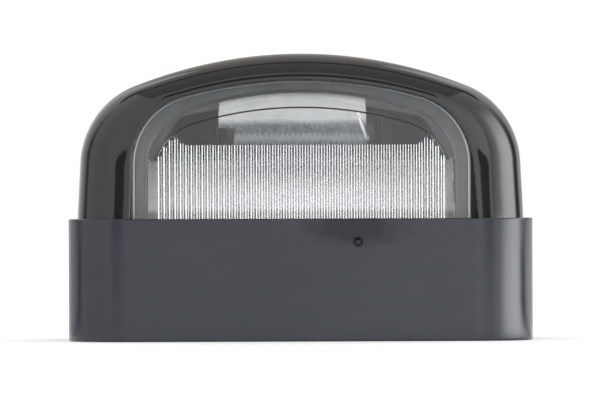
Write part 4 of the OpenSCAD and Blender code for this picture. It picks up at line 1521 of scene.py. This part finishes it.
# %% Surrounds at the right, at the left and in front
def surround(name, side, tones, foot_tones, distance=0.6):
    """A screen round one side; side is 1 at the right and -1 at the left."""
    columns, values = [], []
    first, last = foot_tones[0][0], tones[-1][0]
    count = int(last - first)
    for i in range(count + 1):
        azimuth = mix(first, last, i / count)
        angle = side * math.radians(azimuth)
        way = Vector((math.sin(angle), -math.cos(angle), 0))
        low_tone, tone = curve_at(foot_tones, azimuth), curve_at(tones, azimuth)
        column = [way * STRIP_START + ABOVE_FLOOR]
        values.append(low_tone)
        for elevation in ELEVATIONS:
            rise = Vector((0, 0, distance * math.tan(math.radians(elevation))))
            column.append(way * distance + rise + ABOVE_FLOOR)
            here = low_tone if elevation < FOOT_ELEVATION else tone
            values.append(mix(1.0, here, curve_at(FADE, elevation)))
        columns.append(column)
    screen(name, flat(columns), loft(columns, closed=False), values)


surround("right_surround", 1, RIGHT_TONES, RIGHT_FOOT)
surround("left_surround", -1, LEFT_TONES, LEFT_FOOT)
surround("front_glow", 1, FRONT_TONES, FRONT_TONES, 1.5)

# %% [markdown]
# The top and the corners mirror a ring round the view's axis. A band of that ring is
# given by its angles from the axis at the right, at the top and at the left, and by how
# far round it runs: a narrow dark gap, a grey ceiling with two corners behind it, and a
# darker grey band in front of it.

# %% Bands of the ring round the view's axis
BAND_STEPS, BAND_ACROSS = 32, 4


def between(values, turn):
    """Angle at a turn from 0 at the right over 90 at the top to 180 at the left."""
    right, top, left = values
    return mix(right, top, turn / 90) if turn < 90 else mix(top, left, (turn - 90) / 90)


def ring_point(angle, turn, distance):
    """Point at an angle from the view's axis, turned round it from the right by turn."""
    a, t = math.radians(angle), math.radians(turn)
    way = Vector((math.sin(a) * math.cos(t), -math.cos(a), math.sin(a) * math.sin(t)))
    return way * distance


def band(name, inner, outer, turns, tone, distance=1.4, color=(1, 1, 1), lights=False):
    """A screen between two angles from the view's axis, over a range of turns."""
    columns = []
    for i in range(BAND_STEPS + 1):
        turn = mix(*turns, i / BAND_STEPS)
        ends = between(inner, turn), between(outer, turn)
        columns.append([ring_point(mix(*ends, k / BAND_ACROSS), turn, distance)
                        for k in range(BAND_ACROSS + 1)])
    points = flat(columns)
    screen(name, points, loft(columns, closed=False), [tone] * len(points), color, lights)


GAP_INNER, GAP_OUTER = (118, 115, 117.5), (133, 121.5, 125)
BACK = (174, 174, 174)
WARM_GREY = (1.0, 0.975, 0.94)
band("dark_gap", GAP_INNER, GAP_OUTER, (14, 166), 0.06)
band("grey_ceiling", GAP_OUTER, BACK, (40, 140), 0.42, color=WARM_GREY)
band("grey_corner", GAP_OUTER, BACK, (14, 40), 0.7, color=WARM_GREY)
band("grey_corner", GAP_OUTER, BACK, (140, 166), 0.7, color=WARM_GREY)
band("top_front", (60, 60, 60), GAP_INNER, (60, 120), 0.38)

# %% [markdown]
# Two dark flags stand in front of the lamp, one at each side. The hood's front corners
# mirror them as leaf-shaped dark spots with soft edges. A third one, wide and low, hangs
# above the camera and draws the dark arc over the window.

# %% Dark flags
def flag(name, outline, tone=0.0, soft=(1.12, 0.86), distance=1.2):
    """A dark leaf; outline holds (angle, turn) points round the view's axis."""
    center = Vector(tuple(sum(v) / len(outline) for v in zip(*outline)))
    rims = [[center.lerp(Vector(p), share) for p in outline] for share in soft]
    points = [ring_point(*p, distance) for p in flat(rims) + [center]]
    count = len(outline)
    middle = [(count + k, count + (k + 1) % count, 2 * count) for k in range(count)]
    screen(name, points, loft(rims) + middle, [1.0] * count + [tone] * (count + 1))


flag("right_flag", [
    (42, 1.0), (45.5, 1.8), (44.5, 4.5), (39, 8), (29, 13), (24.5, 15.5), (21, 13),
    (22.5, 8), (26, 4.5), (31, 1.8), (37, 1.0)], tone=0.04)
flag("left_flag", [
    (36.5, 179), (40.5, 178.2), (39.5, 175.5), (36, 172), (26.5, 166), (17, 162.5),
    (15, 166.5), (18.5, 172), (19.5, 175.5), (24.5, 178.2), (30.5, 179)])
flag("upper_flag", [
    (32, 60), (38, 64), (47, 66), (48, 78), (48, 90), (48, 102), (47, 114), (38, 116),
    (32, 120), (31, 105), (31, 90), (31, 75)], soft=(1.06, 0.9))

# %% [markdown]
# The last screen lights the inside through the window, and nothing mirrors it. It is a
# broad half ring round the camera, so that its light gets in under the shade too.

# %% Light for the inside
band("front_light", (12, 12, 12), (80, 80, 80), (0, 180), 2.6, 1.5, lights=True)

# %% [markdown]
# ## Camera
#
# The photograph was taken with a long lens from about a metre and a half away, level
# with the rim and a degree to the left of the lamp's own axis, which is why the right
# edge of the window shows its flared wall. The focal length follows from the part of the
# picture that the base fills.

# %% Place the camera
CAMERA_D = 1.6
CAMERA_TURN, CAMERA_ROLL = math.radians(1.0), math.radians(0.2)
SENSOR_W = 36
PHOTO_W, BASE_IN_PHOTO = 600, 464.2
SIDE_Y = -(BASE_D - BASE_R)
FRAME_W = 2 * BASE_W * PHOTO_W / BASE_IN_PHOTO
aim = Vector((0.1 * MM, 0, RIM_Z + 3.75 * MM))
camera = add_object("camera", bpy.data.cameras.new("camera"))
camera.data.sensor_width = SENSOR_W
camera.data.lens = SENSOR_W * (CAMERA_D + SIDE_Y) / FRAME_W
back = Vector((-math.sin(CAMERA_TURN), -math.cos(CAMERA_TURN), 0))
camera.location = aim + back * CAMERA_D
look = (-back).to_track_quat("-Z", "Y").to_matrix().to_4x4()
place = Matrix.Translation(camera.location)
camera.matrix_world = place @ look @ Matrix.Rotation(-CAMERA_ROLL, 4, "Z")
bpy.context.scene.camera = camera
print("camera lens %.0f mm" % camera.data.lens)
